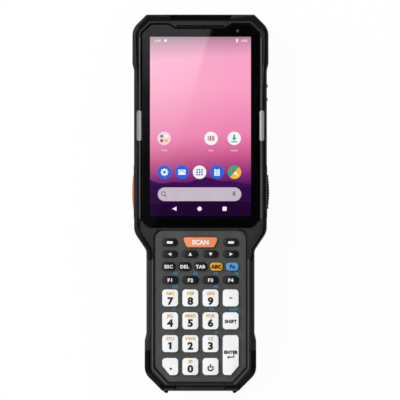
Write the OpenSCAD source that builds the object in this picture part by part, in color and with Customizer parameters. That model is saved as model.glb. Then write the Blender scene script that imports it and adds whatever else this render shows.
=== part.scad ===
// Portable barcode data terminal: keyed handheld computer with a touch display.
// It lies on its back. +Z points out of the display, +Y towards the scanner end,
// +X to the right as the user reads the display. Millimetres.

/* [Overall] */
// Length from the scanner end to the tail tips
total_len = 210; // [206:1:220]
// Depth from the table to the bumper's front rim
depth = 35; // [34:0.5:38]
// Width of the head at its corners
head_w = 75.2; // [74:0.2:80]
// Width of the head beside the display, below its step
head_low_w = 73.4; // [72.6:0.2:73.8]
// Width of the grip over its rubber strips
grip_w = 59.7; // [59:0.1:62]
// Width of the tail over its bumper
tail_w = 61.6; // [60.6:0.1:64]
// Size of the 45 degree corners at the scanner end
head_chamfer = 7.6; // [6:0.2:9]
// Size of the 45 degree corners at the tail
tail_chamfer = 9.7; // [8:0.1:10]
// How far the tail tips stand below the tail's edge
tip_h = 1.1; // [0.6:0.1:1.6]

/* [Outline along the length] */
// Scanner end to the step in the head's side
head_step_at = 27.6; // [24:0.2:30]
// Scanner end to the start of the waist
waist_at = 121.1; // [119:0.1:123]
// Length of the waist's slope
waist_len = 10.1; // [9:0.1:12]
// Tail tips to the step where the tail bumper swells
tail_step_at = 29; // [27:0.5:31]

/* [Back of the housing] */
// Rise of the grip's back above the table
grip_rise = 6; // [5:0.25:7]
// Radius of the back's long edges
back_round = 4.5; // [3.5:0.25:5]
// Height of the parting plane between the two cases
parting = 22; // [21.8:0.1:22.6]
// Wall of the cases
wall = 2.2; // [1.8:0.1:2.6]
// Thickness of the rubber bumpers and strips
rubber_t = 2.9; // [2.6:0.1:3.2]
// Gap where two rubber pieces meet
seam_gap = 0.3; // [0.2:0.05:0.5]

/* [Front] */
// How far the front case lies below the bumper's rim
rim_step = 1; // [0.6:0.1:1.4]
// Thickness of the front case's face
face_t = 3.2; // [3:0.1:3.6]
// Thickness of the display window
window_t = 1.4; // [1.1:0.1:1.5]
// Width of the front case's edge beside the window
window_edge = 1.55; // [1.3:0.05:2.6]
// Length of the display window
window_len = 112.9; // [112:0.1:114]
// Scanner end to the display window
window_at = 5.7; // [5.5:0.1:6]
// Clearance around parts glued into a recess
glue_gap = 0.15; // [0.1:0.05:0.25]
// Black border beside the lit display
lit_side = 4.25; // [3.8:0.05:5.2]
// Length of the lit display
lit_len = 99.6; // [97:0.1:100]
// Scanner end to the lit display
lit_at = 12.4; // [12.3:0.1:13]
// Scanner end to the front camera's middle
front_cam_at = 9.1; // [8.9:0.1:9.2]
// Front camera's distance from the window's side
front_cam_in = 11.65; // [9:0.05:14]
// Radius of the front camera's barrel
front_cam_r = 1.6; // [1.2:0.1:1.7]

/* [Keypad] */
// Width of the keypad bezel
bezel_w = 50.4; // [49.8:0.1:51]
// Scanner end to the bezel
bezel_at = 119.5; // [119.4:0.1:120.2]
// Length of the bezel
bezel_len = 84.5; // [84:0.1:84.8]
// Thickness of the bezel
bezel_t = 1.6; // [1.3:0.1:1.8]
// How far the bezel lies below the front case's face
bezel_drop = 1; // [0.6:0.1:1.2]
// Distance between the columns of large keys
col_pitch = 11.2; // [10.9:0.05:11.3]
// Distance between the rows of large keys
row_pitch = 12.7; // [12.3:0.05:12.8]
// Width of a large key
key_w = 8.8; // [8.4:0.1:9.3]
// Length of a large key
key_h = 9.4; // [8.8:0.1:9.8]
// Scanner end to the first row of large keys
numbers_at = 157.4; // [157.2:0.1:158]
// Length of a function key
fkey_h = 4; // [3.8:0.1:4.8]
// Width of a mode key
mode_key_w = 6.9; // [6.6:0.1:7.3]
// Distance between the mode keys
mode_pitch = 8.83; // [8.7:0.01:8.9]
// Width of a soft key
soft_key_w = 8.1; // [7.6:0.1:8.8]
// Width of the scan key at its wide edge
scan_key_w = 20.2; // [18:0.2:21]
// Travel of a key
key_travel = 0.7; // [0.5:0.05:0.9]
// Clearance between a key and its hole
key_gap = 0.2; // [0.15:0.05:0.25]
// Overlap of a key's flange under the bezel, past the key
flange_over = 0.6; // [0.5:0.05:0.7]
// Thickness of a key's flange
flange_t = 0.9; // [0.7:0.1:1.1]
// How far a large key stands above the bezel
key_stand = 1.8; // [1.4:0.1:2]

/* [Side keys] */
// Length of the two side scan keys
side_key_len = 19; // [17:0.5:20]
// Height of the side keys
side_key_h = 7; // [6:0.25:7.5]
// Scanner end to the middle of the side scan keys
side_key_at = 98.5; // [97:0.5:100]
// How far the middle of a side scan key stands out of the bumper
side_key_stand = 1.2; // [1:0.1:1.5]
// Radius of the side scan keys' bulged faces
side_key_bulge = 50; // [45:1:70]
// Travel of a side scan key
side_travel = 0.6; // [0.4:0.05:0.8]
// Clearance of a side key in its slot
side_gap = 0.25; // [0.2:0.05:0.35]
// Length of the volume rocker
rocker_len = 15.4; // [14:0.2:17]
// Scanner end to the rocker's pivot
rocker_at = 43.3; // [42:0.1:45]

/* [Battery and cover] */
// Width of the battery bay and its cover
bay_w = 44.4; // [42:0.2:44.8]
// Scanner end to the bay
bay_at = 124.5; // [124:0.1:125.5]
// Scanner end to the hinge axis of the cover
hinge_at = 178.2; // [177:0.1:178.4]
// Height of the hinge axis above the grip's back
hinge_rise = 2.8; // [2.6:0.1:3]
// Radius of the hinge pin
pin_r = 1; // [0.8:0.05:1.2]
// Running clearance of the hinge pin in the cover's barrel
pin_gap = 0.05; // [0.03:0.01:0.08]
// Radius of the cover's barrel
barrel_r = 2; // [1.8:0.05:2.1]
// Clearance around the cover
cover_gap = 0.2; // [0.15:0.05:0.3]
// Thickness of the battery pack
pack_t = 9.8; // [8:0.2:10]

/* [Scanner, sound and camera] */
// Width of the scan window
scan_w = 36; // [32:0.5:38]
// Height of the scan window
scan_h = 11.5; // [10:0.5:12]
// Height of the scan window's middle above the table
scan_z = 12.6; // [12:0.1:12.8]
// Radius of the rear camera's ring
cam_r = 6.4; // [5.6:0.1:7]
// Rear camera's distance from the middle line
cam_x = 18; // [16:0.5:19]
// Scanner end to the rear camera
cam_at = 30; // [29.5:0.5:34]
// Radius of the screw heads
screw_head_r = 1.9; // [1.7:0.05:2]
// Radius of the case screws
screw_r = 0.95; // [0.8:0.05:1]
// Radius of the accessory screw holes
insert_r = 1.25; // [1.2:0.05:1.6]
// Distance between the accessory screw holes
insert_pitch = 40; // [36:1:42]
// Depth of the accessory screw holes
insert_depth = 6; // [5:0.5:7]

/* [Port] */
// Width of the port's recess
port_w = 13.5; // [12.5:0.5:14.5]
// Height of the port's recess
port_h = 7; // [6.5:0.25:7.5]
// Height of the port's middle above the table
port_z = 15; // [14.8:0.1:15.5]
// Thickness of the port's flap
flap_t = 1.5; // [1.2:0.1:1.6]
// Width of the port's flap
flap_w = 17; // [16:0.5:19]

/* [Hidden] */
y_top = total_len / 2;
y_tip = -total_len / 2;
y_end = y_tip + tip_h;
// Places along the housing are distances from the scanner end. They are given for
// a housing 210 long and stretch with its total length.
stretch = total_len / 210;
function at(d) = y_top - d * stretch;
z_rim = depth;
z_face = z_rim - rim_step;
z_under = z_face - face_t;         // underside of the front case's face
z_window = z_face - 0.2 - window_t;
z_bezel = z_face - bezel_drop;
z_flange = z_bezel - bezel_t - 0.1;
z_foot = z_flange - flange_t - 1.2;
z_dome = z_foot - key_travel - 0.1;
z_mat = z_dome - 1;
mat_t = 0.6;
board_t = 1.2;
z_keyboard = z_mat - board_t;
z_main = parting + 0.6;
y_waist = at(waist_at);
y_tailstep = y_tip + tail_step_at * stretch;
y_seam_a = at(136);                // head bumper meets the grip strips
y_seam_b = at(186.8);              // grip strips meet the tail bumper
window_cor = [5, 4.7];             // window's cut corners
window_w = head_low_w - 2 * (rubber_t + window_edge);
lit_w = window_w - 2 * lit_side;
front_cam_x = window_w / 2 - front_cam_in;
hinge_y = at(hinge_at);
hinge_z = grip_rise + hinge_rise;
barrel_room = barrel_r + 0.25;     // from the hinge axis to the wall of its recess
bay_over = 3.2;                    // reach of the hinge's recess into the bay
lug_x = 19.1;
lug_t = 2.8;
side_z = z_under - side_key_h / 2 - 0.9;
boss_h = z_keyboard - parting - 0.1;
gasket_t = 1.2;
side_inner = head_low_w / 2 - rubber_t - wall;   // inner face of the side walls
side_flange_t = 1.2;
switch_x = side_inner - 0.1 - side_flange_t - side_travel - 0.05;
board_w = 2 * (switch_x - 2.65);
rocker_gap = side_gap + 0.1;
fine = 48;

// ---- Outline of the housing: right half, from the scanner end to the tail ----
// Each corner is [x, y, fillet radius, segments in the fillet].
CORNERS = [
    [0, y_top, 0, 0],
    [head_w / 2 - head_chamfer, y_top, 1.5, 3],
    [head_w / 2, y_top - head_chamfer, 9, 4],
    [head_w / 2, at(head_step_at), 3, 1],
    [head_low_w / 2, at(head_step_at + 3.2), 3, 1],
    [head_low_w / 2, at(111), 0, 0],
    [head_low_w / 2, y_waist, 10, 5],
    [grip_w / 2, y_waist - waist_len, 4, 3],
    [grip_w / 2, y_seam_a + seam_gap / 2, 0, 0],
    [grip_w / 2, y_seam_a - seam_gap / 2, 0, 0],
    [grip_w / 2, y_tailstep + 4.2, 3, 1],
    [tail_w / 2, y_tailstep, 3, 1],
    [tail_w / 2, y_seam_b + seam_gap / 2, 0, 0],
    [tail_w / 2, y_seam_b - seam_gap / 2, 0, 0],
    [tail_w / 2, at(188.5), 0, 0],
    [tail_w / 2, y_end + tail_chamfer, 8, 4],
    [tail_w / 2 - tail_chamfer, y_end, 1, 2],
    [0, y_end, 0, 0]
];

function unit(v) = v / norm(v);
function left_of(a, b) = let(d = unit(b - a)) [-d[1], d[0]];
function flat2(p) = [p[0], p[1]];
// Corner i of a list, moved inwards by d along both of its edges
function inset_corner(c, i, d) =
    let(n1 = left_of(flat2(c[max(i - 1, 0)]), flat2(c[max(i, 1)])),
        n2 = left_of(flat2(c[min(i, len(c) - 2)]), flat2(c[min(i + 1, len(c) - 1)])))
    flat2(c[i]) - d * (n1 + n2) / (1 + n1 * n2);
// Points of the fillet at corner p between neighbours a and b
function fillet(a, p, b, r, n) =
    n == 0 ? [p] :
    let(u = unit(a - p), v = unit(b - p),
        half = acos(max(-1, min(1, u * v))) / 2,
        reach = min(r / tan(half), norm(a - p) * 0.49, norm(b - p) * 0.49),
        rr = reach * tan(half),
        c = p + unit(u + v) * rr / sin(half),
        e = unit(u * reach + p - c), s = sign(u[0] * v[1] - u[1] * v[0]))
    [for (k = [0 : n]) let(t = -s * (180 - 2 * half) * k / n)
        c + rr * [e[0] * cos(t) - e[1] * sin(t), e[0] * sin(t) + e[1] * cos(t)]];
function turn(c, i) =
    let(a = flat2(c[i]) - flat2(c[i - 1]), b = flat2(c[i + 1]) - flat2(c[i]))
    a[0] * b[1] - a[1] * b[0];
// Half outline at an inset, as one list of points
function half_outline(c, d) =
    let(q = [for (i = [0 : len(c) - 1]) inset_corner(c, i, d)])
    [for (i = [0 : len(c) - 1])
        let(ends = i == 0 || i == len(c) - 1,
            r = ends ? 0 : max(c[i][2] + (turn(c, i) < 0 ? -d : d), 0.2),
            f = ends ? [q[i]] : fillet(q[i - 1], q[i], q[i + 1], r, c[i][3]))
        each f];
function mirrored(h) = [for (i = [len(h) - 2 : -1 : 1]) [-h[i][0], h[i][1]]];
function ring(c, d) = let(h = half_outline(c, d)) concat(h, mirrored(h));
module outline(d) { polygon(ring(CORNERS, d)); }

// ---- Back profile: height of the housing's back along the length ----
function smooth(t) = let(s = max(0, min(1, t))) s * s * (3 - 2 * s);
function back(y) = grip_rise *
    (smooth((at(111) - y) / (14 * stretch)) - smooth((at(183) - y) / (10 * stretch)));

// ---- Sweep of a closed section along a run of ring points ----
// Section points are [inset, height, share of the back profile].
function run(d, from, to) =
    let(r = ring(CORNERS, d)) [for (i = [from : to]) r[(i + len(r)) % len(r)]];
function between(h, y1, y2) = [for (i = [0 : len(h) - 1]) if (h[i][1] <= y1 && h[i][1] >= y2) i];
module sweep(section, from, to) {
    runs = [for (s = section) run(s[0], from, to)];
    n = to - from + 1;
    m = len(section);
    points = [for (i = [0 : n - 1]) for (j = [0 : m - 1])
        let(p = runs[j][i], s = section[j]) [p[0], p[1], s[1] + s[2] * back(p[1])]];
    sides = [for (i = [0 : n - 2]) for (j = [0 : m - 1])
        let(a = i * m + j, b = i * m + (j + 1) % m, c = b + m, d = a + m)
        each [[a, c, b], [a, d, c]]];
    caps = [[for (j = [0 : m - 1]) j], [for (j = [m - 1 : -1 : 0]) (n - 1) * m + j]];
    polyhedron(points, concat(sides, caps));
}
// Solid of the rear case's outer form: rings of the outline, each [inset, height, share]
module back_form(layers, top) {
    rings = [for (l = layers) ring(CORNERS, l[0])];
    n = len(rings[0]);
    m = len(layers);
    half = n / 2;
    points = [for (j = [0 : m - 1]) for (p = rings[j])
        [p[0], p[1], layers[j][1] + layers[j][2] * back(p[1])]];
    sides = [for (j = [0 : m - 2]) for (i = [0 : n - 1])
        let(a = j * n + i, b = j * n + (i + 1) % n, c = b + n, d = a + n)
        each [[a, b, c], [a, c, d]]];
    // back and top are closed by strips from left to right
    strips = concat(
        [[0, n - 1, n - 2], [0, n - 2, 2], [0, 2, 1]],
        [for (i = [2 : half - 3]) each [[i, n - i, n - i - 1], [i, n - i - 1, i + 1]]],
        [[half, half - 1, half - 2], [half, half - 2, half + 2], [half, half + 2, half + 1]]);
    top_at = (m - 1) * n;
    lid = [for (f = strips) [f[2] + top_at, f[1] + top_at, f[0] + top_at]];
    polyhedron(points, concat(sides, strips, lid));
}

// ---- Small shapes ----
module rounded(w, h, r) {
    square([w - 2 * r, h], center = true);
    square([w, h - 2 * r], center = true);
    for (x = [-1, 1]) for (y = [-1, 1])
        translate([x * (w / 2 - r), y * (h / 2 - r)]) circle(r, $fn = fine);
}
module slab(w, h, t, r) { linear_extrude(t) rounded(w, h, r); }
module box(x, y, z, size) { translate([x, y, z]) translate([-size[0] / 2, -size[1] / 2, 0]) cube(size); }
module rod_x(y, z, r, from, to) {
    translate([from, y, z]) rotate([0, 90, 0]) cylinder(r = r, h = to - from, $fn = fine);
}
// Opening along Y with its corners cut at 45 degrees
module cut_y(x, y, z, w, h, c, depth_y) {
    translate([x, y, z]) rotate([90, 0, 0]) linear_extrude(depth_y)
        polygon([for (q = [[1, 1], [-1, 1], [-1, -1], [1, -1]])
            each let(a = [q[0] * w / 2, q[1] * h / 2], dx = [-q[0] * c, 0], dy = [0, -q[1] * c])
                q[0] * q[1] > 0 ? [a + dy, a + dx] : [a + dx, a + dy]]);
}
module slot_y(x, y, z, w, h, r, depth_y) {
    translate([x, y, z]) rotate([90, 0, 0]) linear_extrude(depth_y) rounded(w, h, r);
}

// ---- Places shared by several pieces ----
window_y = y_top - window_at;
window_end = at(window_at + window_len);
lit_top = y_top - lit_at;
lit_end = at(lit_at + lit_len);
lit_y = (lit_top + lit_end) / 2;
lit_h = lit_top - lit_end;
front_cam_y = y_top - front_cam_at;
WINDOW = [
    [0, window_y - 2.3, 0, 0],
    [13.8, window_y - 2.3, 1, 1],
    [17.8, window_y, 1, 1],
    [window_w / 2 - window_cor[0], window_y, 1, 2],
    [window_w / 2, window_y - window_cor[1], 2, 2],
    [window_w / 2, window_end, 5.8, 6],
    [0, window_end, 0, 0]
];
BEZEL = [
    [0, at(bezel_at), 0, 0],
    [bezel_w / 2, at(bezel_at), 5, 6],
    [bezel_w / 2, at(bezel_at + bezel_len - 8.2), 2, 2],
    [bezel_w / 2 - 7.4, at(bezel_at + bezel_len), 1.5, 2],
    [0, at(bezel_at + bezel_len), 0, 0]
];
// Case screws stand at one distance inside the wall at their place
SCREWS = [for (p = [[head_w, 22], [head_low_w, 76], [tail_w, 193.5]])
    for (s = [-1, 1]) [s * (p[0] / 2 - rubber_t - wall - 5), at(p[1])]];
side_y = at(side_key_at);
rocker_y = at(rocker_at);
led_x = head_low_w / 2 - 2.5;
led_y = at(61.8);
led_len = 17.6;
speaker_y = at(66);
speaker_x = -14;
lip_w = 1;                         // groove round the window
lip_deep = 1.1;
tail_mid_w = 27.4;                 // middle part of the tail's end, between two notches
dip_w = 34.6;                      // shallow dip in the head bumper's front rim
dip_deep = 0.7;
flap_y = y_end + 1;
flap_z = port_z - port_h / 2 - 1.6;
mouth_y = y_end + 6.1;
contact_y = at(bay_at) + 1.2;

// ---- Keys: [name, x, y, width, height, corner radius, stand over the bezel, shape] ----
row_y = [for (r = [0 : 3]) at(numbers_at + r * row_pitch)];
col_x = [for (c = [0 : 3]) (c - 1.5) * col_pitch];
mode_y = at(140);
DIGITS = [
    ["key_7", 0, 0], ["key_8", 1, 0], ["key_9", 2, 0], ["key_minus", 3, 0],
    ["key_4", 0, 1], ["key_5", 1, 1], ["key_6", 2, 1], ["key_shift", 3, 1],
    ["key_1", 0, 2], ["key_2", 1, 2], ["key_3", 2, 2],
    ["key_0", 1, 3], ["key_power", 2, 3]
];
MODES = ["key_esc", "key_delete", "key_tab", "key_alpha", "key_fn"];
ARROWS = ["key_left", "key_up", "key_down", "key_right"];
KEYS = concat(
    [["key_scan", 0, at(126.5), scan_key_w, 5.5, 1.2, key_stand + 0.2, "trapezoid"]],
    [for (s = [-1, 1]) [s < 0 ? "key_soft_left" : "key_soft_right",
        s * 17, at(126.6), soft_key_w, 3.9, 1.6, key_stand - 0.5, "plain"]],
    [for (i = [0 : 3]) [ARROWS[i], col_x[i] * 1.01, at(133.1), soft_key_w, 3.6, 1.5,
        key_stand - 0.5, "plain"]],
    [for (i = [0 : 4]) [MODES[i], (i - 2) * mode_pitch, mode_y, mode_key_w, 4.4, 1.7,
        key_stand - 0.3, "plain"]],
    [for (i = [0 : 3]) [str("key_f", i + 1), col_x[i], at(147.5), key_w - 0.2, fkey_h, 1.7,
        key_stand - 0.5, "plain"]],
    [for (k = DIGITS) [k[0], col_x[k[1]], row_y[k[2]], key_w, key_h, 1.8, key_stand, "plain"]],
    [["key_period", col_x[0], row_y[3], key_w, key_h, 1.8, key_stand, "cut_left"],
     ["key_enter", col_x[3], (row_y[2] + row_y[3]) / 2, key_w, key_h + row_pitch * stretch, 1.8,
        key_stand, "cut_right"]]
);
KEY_COLOURS = [["key_scan", "#f2682a"], ["key_alpha", "#f5b21f"], ["key_fn", "#3e8fde"]];
function is_digit_key(k) = k[4] > 6;
function key_colour(k) =
    let(own = [for (c = KEY_COLOURS) if (c[0] == k[0]) c[1]])
    len(own) > 0 ? own[0] : is_digit_key(k) ? "#f2f3f5" : "#1c1d20";

// Plan of a key, grown all round by g
module key_plan(k, g) {
    taper = 2.6;
    if (k[7] == "trapezoid")
        polygon(ring([[0, k[4] / 2, 0, 0], [k[3] / 2, k[4] / 2, k[5], 4],
            [k[3] / 2 - taper, -k[4] / 2, k[5], 4], [0, -k[4] / 2, 0, 0]], -g));
    else
        difference() {
            rounded(k[3] + 2 * g, k[4] + 2 * g, k[5] + g);
            if (k[7] != "plain")
                mirror([k[7] == "cut_left" ? 1 : 0, 0])
                    translate([k[3] / 2 - 2.25 + g * 0.7, -k[4] / 2 + 2.45 - g * 0.7])
                        rotate(-40) translate([0, -20]) square([20, 40]);
        }
}

module key(k) {
    top = z_bezel + k[6];
    crown = k[7] == "trapezoid" ? 70 : is_digit_key(k) ? 30 : 24;
    color(key_colour(k)) translate([k[1], k[2], 0]) union() {
        intersection() {
            translate([0, 0, z_flange]) linear_extrude(top - z_flange) key_plan(k, 0);
            translate([0, 0, top - crown]) rotate([90, 0, 0])
                cylinder(r = crown, h = 2 * k[4], center = true, $fn = 144);
        }
        translate([0, 0, z_flange - flange_t]) linear_extrude(flange_t) key_plan(k, flange_over);
        translate([0, 0, z_foot]) cylinder(r = 1.5, h = z_flange - flange_t - z_foot, $fn = fine);
    }
}

// ---- Housing ----
// Slots of the side scan keys and the rocker, through the wall and the rubber
module side_slots() {
    for (s = [-1, 1])
        box(s * (side_inner + 6), side_y, side_z - side_key_h / 2 - side_gap,
            [16, side_key_len + 2 * side_gap, side_key_h + 2 * side_gap]);
    box(side_inner + 6, rocker_y, side_z - side_key_h / 2 - side_gap,
        [16, rocker_len + 2 * rocker_gap, side_key_h + 2 * side_gap]);
}
// Two notches across the front rim of the tail's end
module tail_notches() {
    for (s = [-1, 1]) box(s * tail_mid_w / 2, y_end + 2.3, z_face - 0.9, [0.6, 3.4, 5]);
}
module front_case() {
    color("#3a3b3d") difference() {
        translate([0, 0, parting]) linear_extrude(z_face - parting) outline(rubber_t);
        // hollow behind the face
        translate([0, 0, parting - 1]) linear_extrude(z_under - parting + 1)
            outline(rubber_t + wall);
        // recess for the window, with a wider groove at its mouth
        translate([0, 0, z_window]) linear_extrude(9) polygon(ring(WINDOW, -glue_gap));
        translate([0, 0, z_face - lip_deep]) linear_extrude(3) polygon(ring(WINDOW, -lip_w));
        box(0, lit_y, z_under - 1, [lit_w + 2.6, lit_h + 3, 9]);
        translate([front_cam_x, front_cam_y, z_under - 1])
            cylinder(r = front_cam_r + 0.1, h = 9, $fn = fine);
        // earpiece slot above the window
        box(0, window_y - 1.1, z_under - 1, [26.4, 1.8, 9]);
        // recess and opening for the keypad bezel
        translate([0, 0, z_bezel - bezel_t]) linear_extrude(9) polygon(ring(BEZEL, -glue_gap));
        translate([0, 0, z_bezel]) linear_extrude(9) polygon(ring(BEZEL, -0.9));
        translate([0, 0, z_under - 1]) linear_extrude(9) polygon(ring(BEZEL, 1.5));
        side_slots();
        // slots for the status lights
        for (s = [-1, 1]) translate([s * led_x, led_y, z_face - 2]) slab(2.9, led_len, 9, 1.4);
        // parting grooves in the rim
        for (s = [-1, 1]) {
            box(s * (head_low_w / 2 - 1.6), at(113.5), z_face - 0.8, [5, 0.4, 5]);
            box(s * (grip_w / 2 - 2.2), y_seam_a, z_face - 0.8, [3.6, 0.4, 5]);
            box(s * (tail_w / 2 - 3.1), y_seam_b, z_face - 0.8, [3.6, 0.4, 5]);
        }
        tail_notches();
    }
    // screw bosses on the side walls
    color("#3a3b3d") for (p = SCREWS) translate([p[0], p[1], parting]) difference() {
        union() {
            cylinder(r = 2.6, h = boss_h, $fn = fine);
            box(sign(p[0]) * 3, 0, 0, [6, 1.6, boss_h]);
        }
        translate([0, 0, -1]) cylinder(r = screw_r + 0.02, h = boss_h + 0.5, $fn = fine);
    }
}

case_layers = [for (a = [0 : 22.5 : 90])
    [rubber_t + back_round * (1 - sin(a)), back_round * (1 - cos(a)), 1]];
module rear_case() {
    color("#2c2d2f") difference() {
        back_form(concat(case_layers, [[rubber_t, parting, 0]]), parting);
        // hollow of the head
        intersection() {
            translate([0, 0, wall]) linear_extrude(parting) outline(rubber_t + back_round);
            box(0, at(55.5), -1, [head_w, 107 * stretch, 99]);
        }
        intersection() {
            translate([0, 0, 8.4]) linear_extrude(parting) outline(rubber_t + wall);
            box(0, at(61.2), -1, [head_w, 122.4 * stretch, 99]);
        }
        // battery bay, open to the back, with the hinge's recess at its end
        box(0, (at(bay_at) + hinge_y + barrel_room) / 2, -1,
            [bay_w, at(bay_at) - hinge_y - barrel_room, grip_rise + 15.5]);
        box(0, hinge_y + (bay_over - barrel_room) / 2, -1,
            [bay_w, bay_over + barrel_room, hinge_z + 3.6]);
        // slot for the battery contacts
        box(0, contact_y, grip_rise + 5.4, [14.4, 3, 5.4]);
        // hollow of the tail
        translate([-15, y_end + rubber_t + 2.4, grip_rise + 2.4])
            cube([30, at(183.6) - y_end - rubber_t - 2.4, parting]);
        gasket_ring(parting - gasket_t, 9);
        // scan window's recess and opening
        slot_y(0, y_top + 1, scan_z, scan_w + 2 * glue_gap, scan_h + 2 * glue_gap, 2, 1 + rubber_t + 1.2);
        slot_y(0, y_top + 1, scan_z, scan_w - 3, scan_h - 2.4, 1.4, 12);
        // loudspeaker slots
        for (i = [-2 : 2]) translate([speaker_x + i * 2.6, speaker_y, -1]) slab(1.2, 10, 9, 0.55);
        // camera bore
        translate([cam_x, at(cam_at), -1]) cylinder(r = cam_r + 0.1, h = 9, $fn = fine);
        // port opening
        slot_y(0, y_end + 9, port_z, port_w, port_h, 1.2, 12);
        screw_cuts();
        insert_cuts();
    }
    color("#2c2d2f") rear_details();
}
module screw_cuts() {
    for (p = SCREWS) translate([p[0], p[1], -1]) {
        cylinder(r = screw_head_r + 0.2, h = 5, $fn = fine);
        cylinder(r = screw_r + 0.1, h = 40, $fn = fine);
    }
}
module insert_cuts() {
    for (s = [-1, 1]) translate([s * insert_pitch / 2, at(101), -1])
        cylinder(r = insert_r, h = insert_depth + 1, $fn = fine);
}
module rear_details() {
    // screw columns in the head
    difference() {
        for (i = [0 : 3]) translate([SCREWS[i][0], SCREWS[i][1], 0.6])
            cylinder(r = 3.4, h = parting - 0.6, $fn = fine);
        screw_cuts();
    }
    // columns of the accessory holes
    difference() {
        for (s = [-1, 1]) translate([s * insert_pitch / 2, at(101), 0.6])
            cylinder(r = 3.2, h = insert_depth + 1.4, $fn = fine);
        insert_cuts();
    }
    // lugs that hold the cover's hinge pin
    difference() {
        for (s = [-1, 1]) {
            rod_x(hinge_y, hinge_z, barrel_r, s * lug_x - lug_t / 2, s * lug_x + lug_t / 2);
            box(s * lug_x, hinge_y - 1.6, hinge_z - 1.4, [lug_t, 3.2, 3.2]);
        }
        rod_x(hinge_y, hinge_z, pin_r, -30, 30);
    }
}

// Ring along the middle of the rear case's rim
module gasket_ring(z, h) {
    translate([0, 0, z]) linear_extrude(h) difference() {
        outline(rubber_t + 0.5);
        outline(rubber_t + wall - 0.5);
    }
}
module case_gasket() {
    color("#17181a") gasket_ring(parting - gasket_t, gasket_t);
}

// ---- Rubber ----
HALF = half_outline(CORNERS, 0);
head_last = max(between(HALF, y_top + 1, y_seam_a));
grip_first = min(between(HALF, y_seam_a, -999));
grip_last = max(between(HALF, y_top + 1, y_seam_b));
tail_first = min(between(HALF, y_seam_b, -999));
tail_last = 2 * (len(HALF) - 1) - tail_first;
bumper_section = [
    [0, 5.6, 1], [0, z_rim - 1.7, 0], [0.5, z_rim - 0.5, 0], [1.3, z_rim, 0],
    [rubber_t - 0.4, z_rim, 0], [rubber_t, z_rim - 0.4, 0], [rubber_t, 4.5, 1],
    [rubber_t - 0.6, 3.6, 1], [0.7, 4.2, 1]
];
strip_section = [
    [0.1, 7, 1], [0, 12, 0.5], [0, z_rim - 2.2, 0], [0.6, z_rim - 1.2, 0], [1.4, z_rim - 0.8, 0],
    [rubber_t, z_rim - 0.8, 0], [rubber_t, 4.5, 1], [1.1, 5.2, 1]
];
// Dip in the middle of the head bumper's rim, with slanted ends
module rim_dip() {
    translate([0, y_top, z_rim - dip_deep]) linear_extrude(3)
        polygon([for (q = [[-1, 1, 0], [1, 1, 0], [1, -1.2, 0], [1, -rubber_t - 1, 2.2],
            [-1, -rubber_t - 1, 2.2], [-1, -1.2, 0]]) [q[0] * (dip_w / 2 - q[2]), q[1]]]);
}
module head_bumper() {
    color("#1b1b1c") difference() {
        sweep(bumper_section, -head_last, head_last);
        rim_dip();
        cut_y(0, y_top + 3, scan_z, scan_w + 3.6, scan_h + 3, 2, 12);
        side_slots();
        for (s = [-1, 1]) translate([s * led_x, led_y, z_face - 2]) slab(2.9, led_len, 9, 1.4);
    }
}
module grip_strips() {
    color("#222324") for (s = [0, 1]) mirror([s, 0, 0]) sweep(strip_section, grip_first, grip_last);
}
module tail_bumper() {
    color("#151516") difference() {
        union() {
            sweep(bumper_section, tail_first, tail_last);
            // corner tips
            for (s = [0, 1]) mirror([s, 0, 0]) translate([tail_w / 2 - tail_chamfer, y_end, 8])
                linear_extrude(z_rim - 9.4)
                    polygon([[-3.8, 1.4], [-2.9, -tip_h], [-1.6, -tip_h], [0.4, 0.9], [0, 1.8]]);
        }
        // notches, and a groove between them beside the front case
        tail_notches();
        box(0, y_end + rubber_t - 0.2, z_face - 1.2, [tail_mid_w, 1.2, 5]);
        // recess for the flap and its hinge, and the port's opening
        cut_y(0, y_end + flap_t + 0.2, port_z, flap_w + 0.4, port_h + 2.6, 1.2, 5);
        cut_y(0, y_end + 9, port_z, port_w + 0.6, port_h + 0.6, 1, 12);
        box(0, y_end + 0.75, flap_z - 1.5, [flap_w + 0.4, 3.4, 3]);
    }
}

// ---- Front pieces ----
module display_window() {
    color("#0a0b0d") translate([0, 0, z_window]) linear_extrude(window_t) polygon(ring(WINDOW, 0));
}
module display_module() {
    color("#2a2f3a") box(0, lit_y, z_window - 2.4, [lit_w + 2, lit_h + 2, 2.3]);
}
module keypad_bezel() {
    color("#484a4c") difference() {
        translate([0, 0, z_bezel - bezel_t]) linear_extrude(bezel_t) polygon(ring(BEZEL, 0));
        for (k = KEYS) translate([k[1], k[2], z_bezel - 5]) linear_extrude(9) key_plan(k, key_gap);
    }
}
module keypad_mat() {
    color("#8d8f92") translate([0, 0, z_mat]) union() {
        linear_extrude(mat_t) polygon(ring(BEZEL, 2.2));
        for (k = KEYS) translate([k[1], k[2], 0])
            cylinder(r1 = 1.8, r2 = 1.2, h = z_dome - z_mat, $fn = fine);
    }
}
module keypad_board() {
    color("#1f5c3a") translate([0, 0, z_keyboard]) linear_extrude(board_t) polygon(ring(BEZEL, 1.9));
}
module status_light_pipes() {
    color("#9fa3a6") for (s = [-1, 1]) translate([s * led_x, led_y, z_face - 2])
        slab(2.7, led_len - 0.2, z_rim - z_face + 1.7, 1.3);
}
module earpiece() {
    color("#202124") union() {
        box(0, window_y - 1.1, z_under, [26, 1.4, face_t - 0.5]);
        box(0, window_y - 4, z_window - 5.6, [15, 6, 2.8]);
        box(0, window_y - 1.1, z_window - 3, [15, 1.4, 1.6]);
    }
}
module front_camera() {
    color("#0c0d10") translate([front_cam_x, front_cam_y, 0]) union() {
        translate([0, 0, z_window - 3.2]) cylinder(r = front_cam_r, h = 3.1, $fn = fine);
        box(0, 0, z_window - 3.9, [4.4, 4.4, 1.9]);
    }
}

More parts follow.
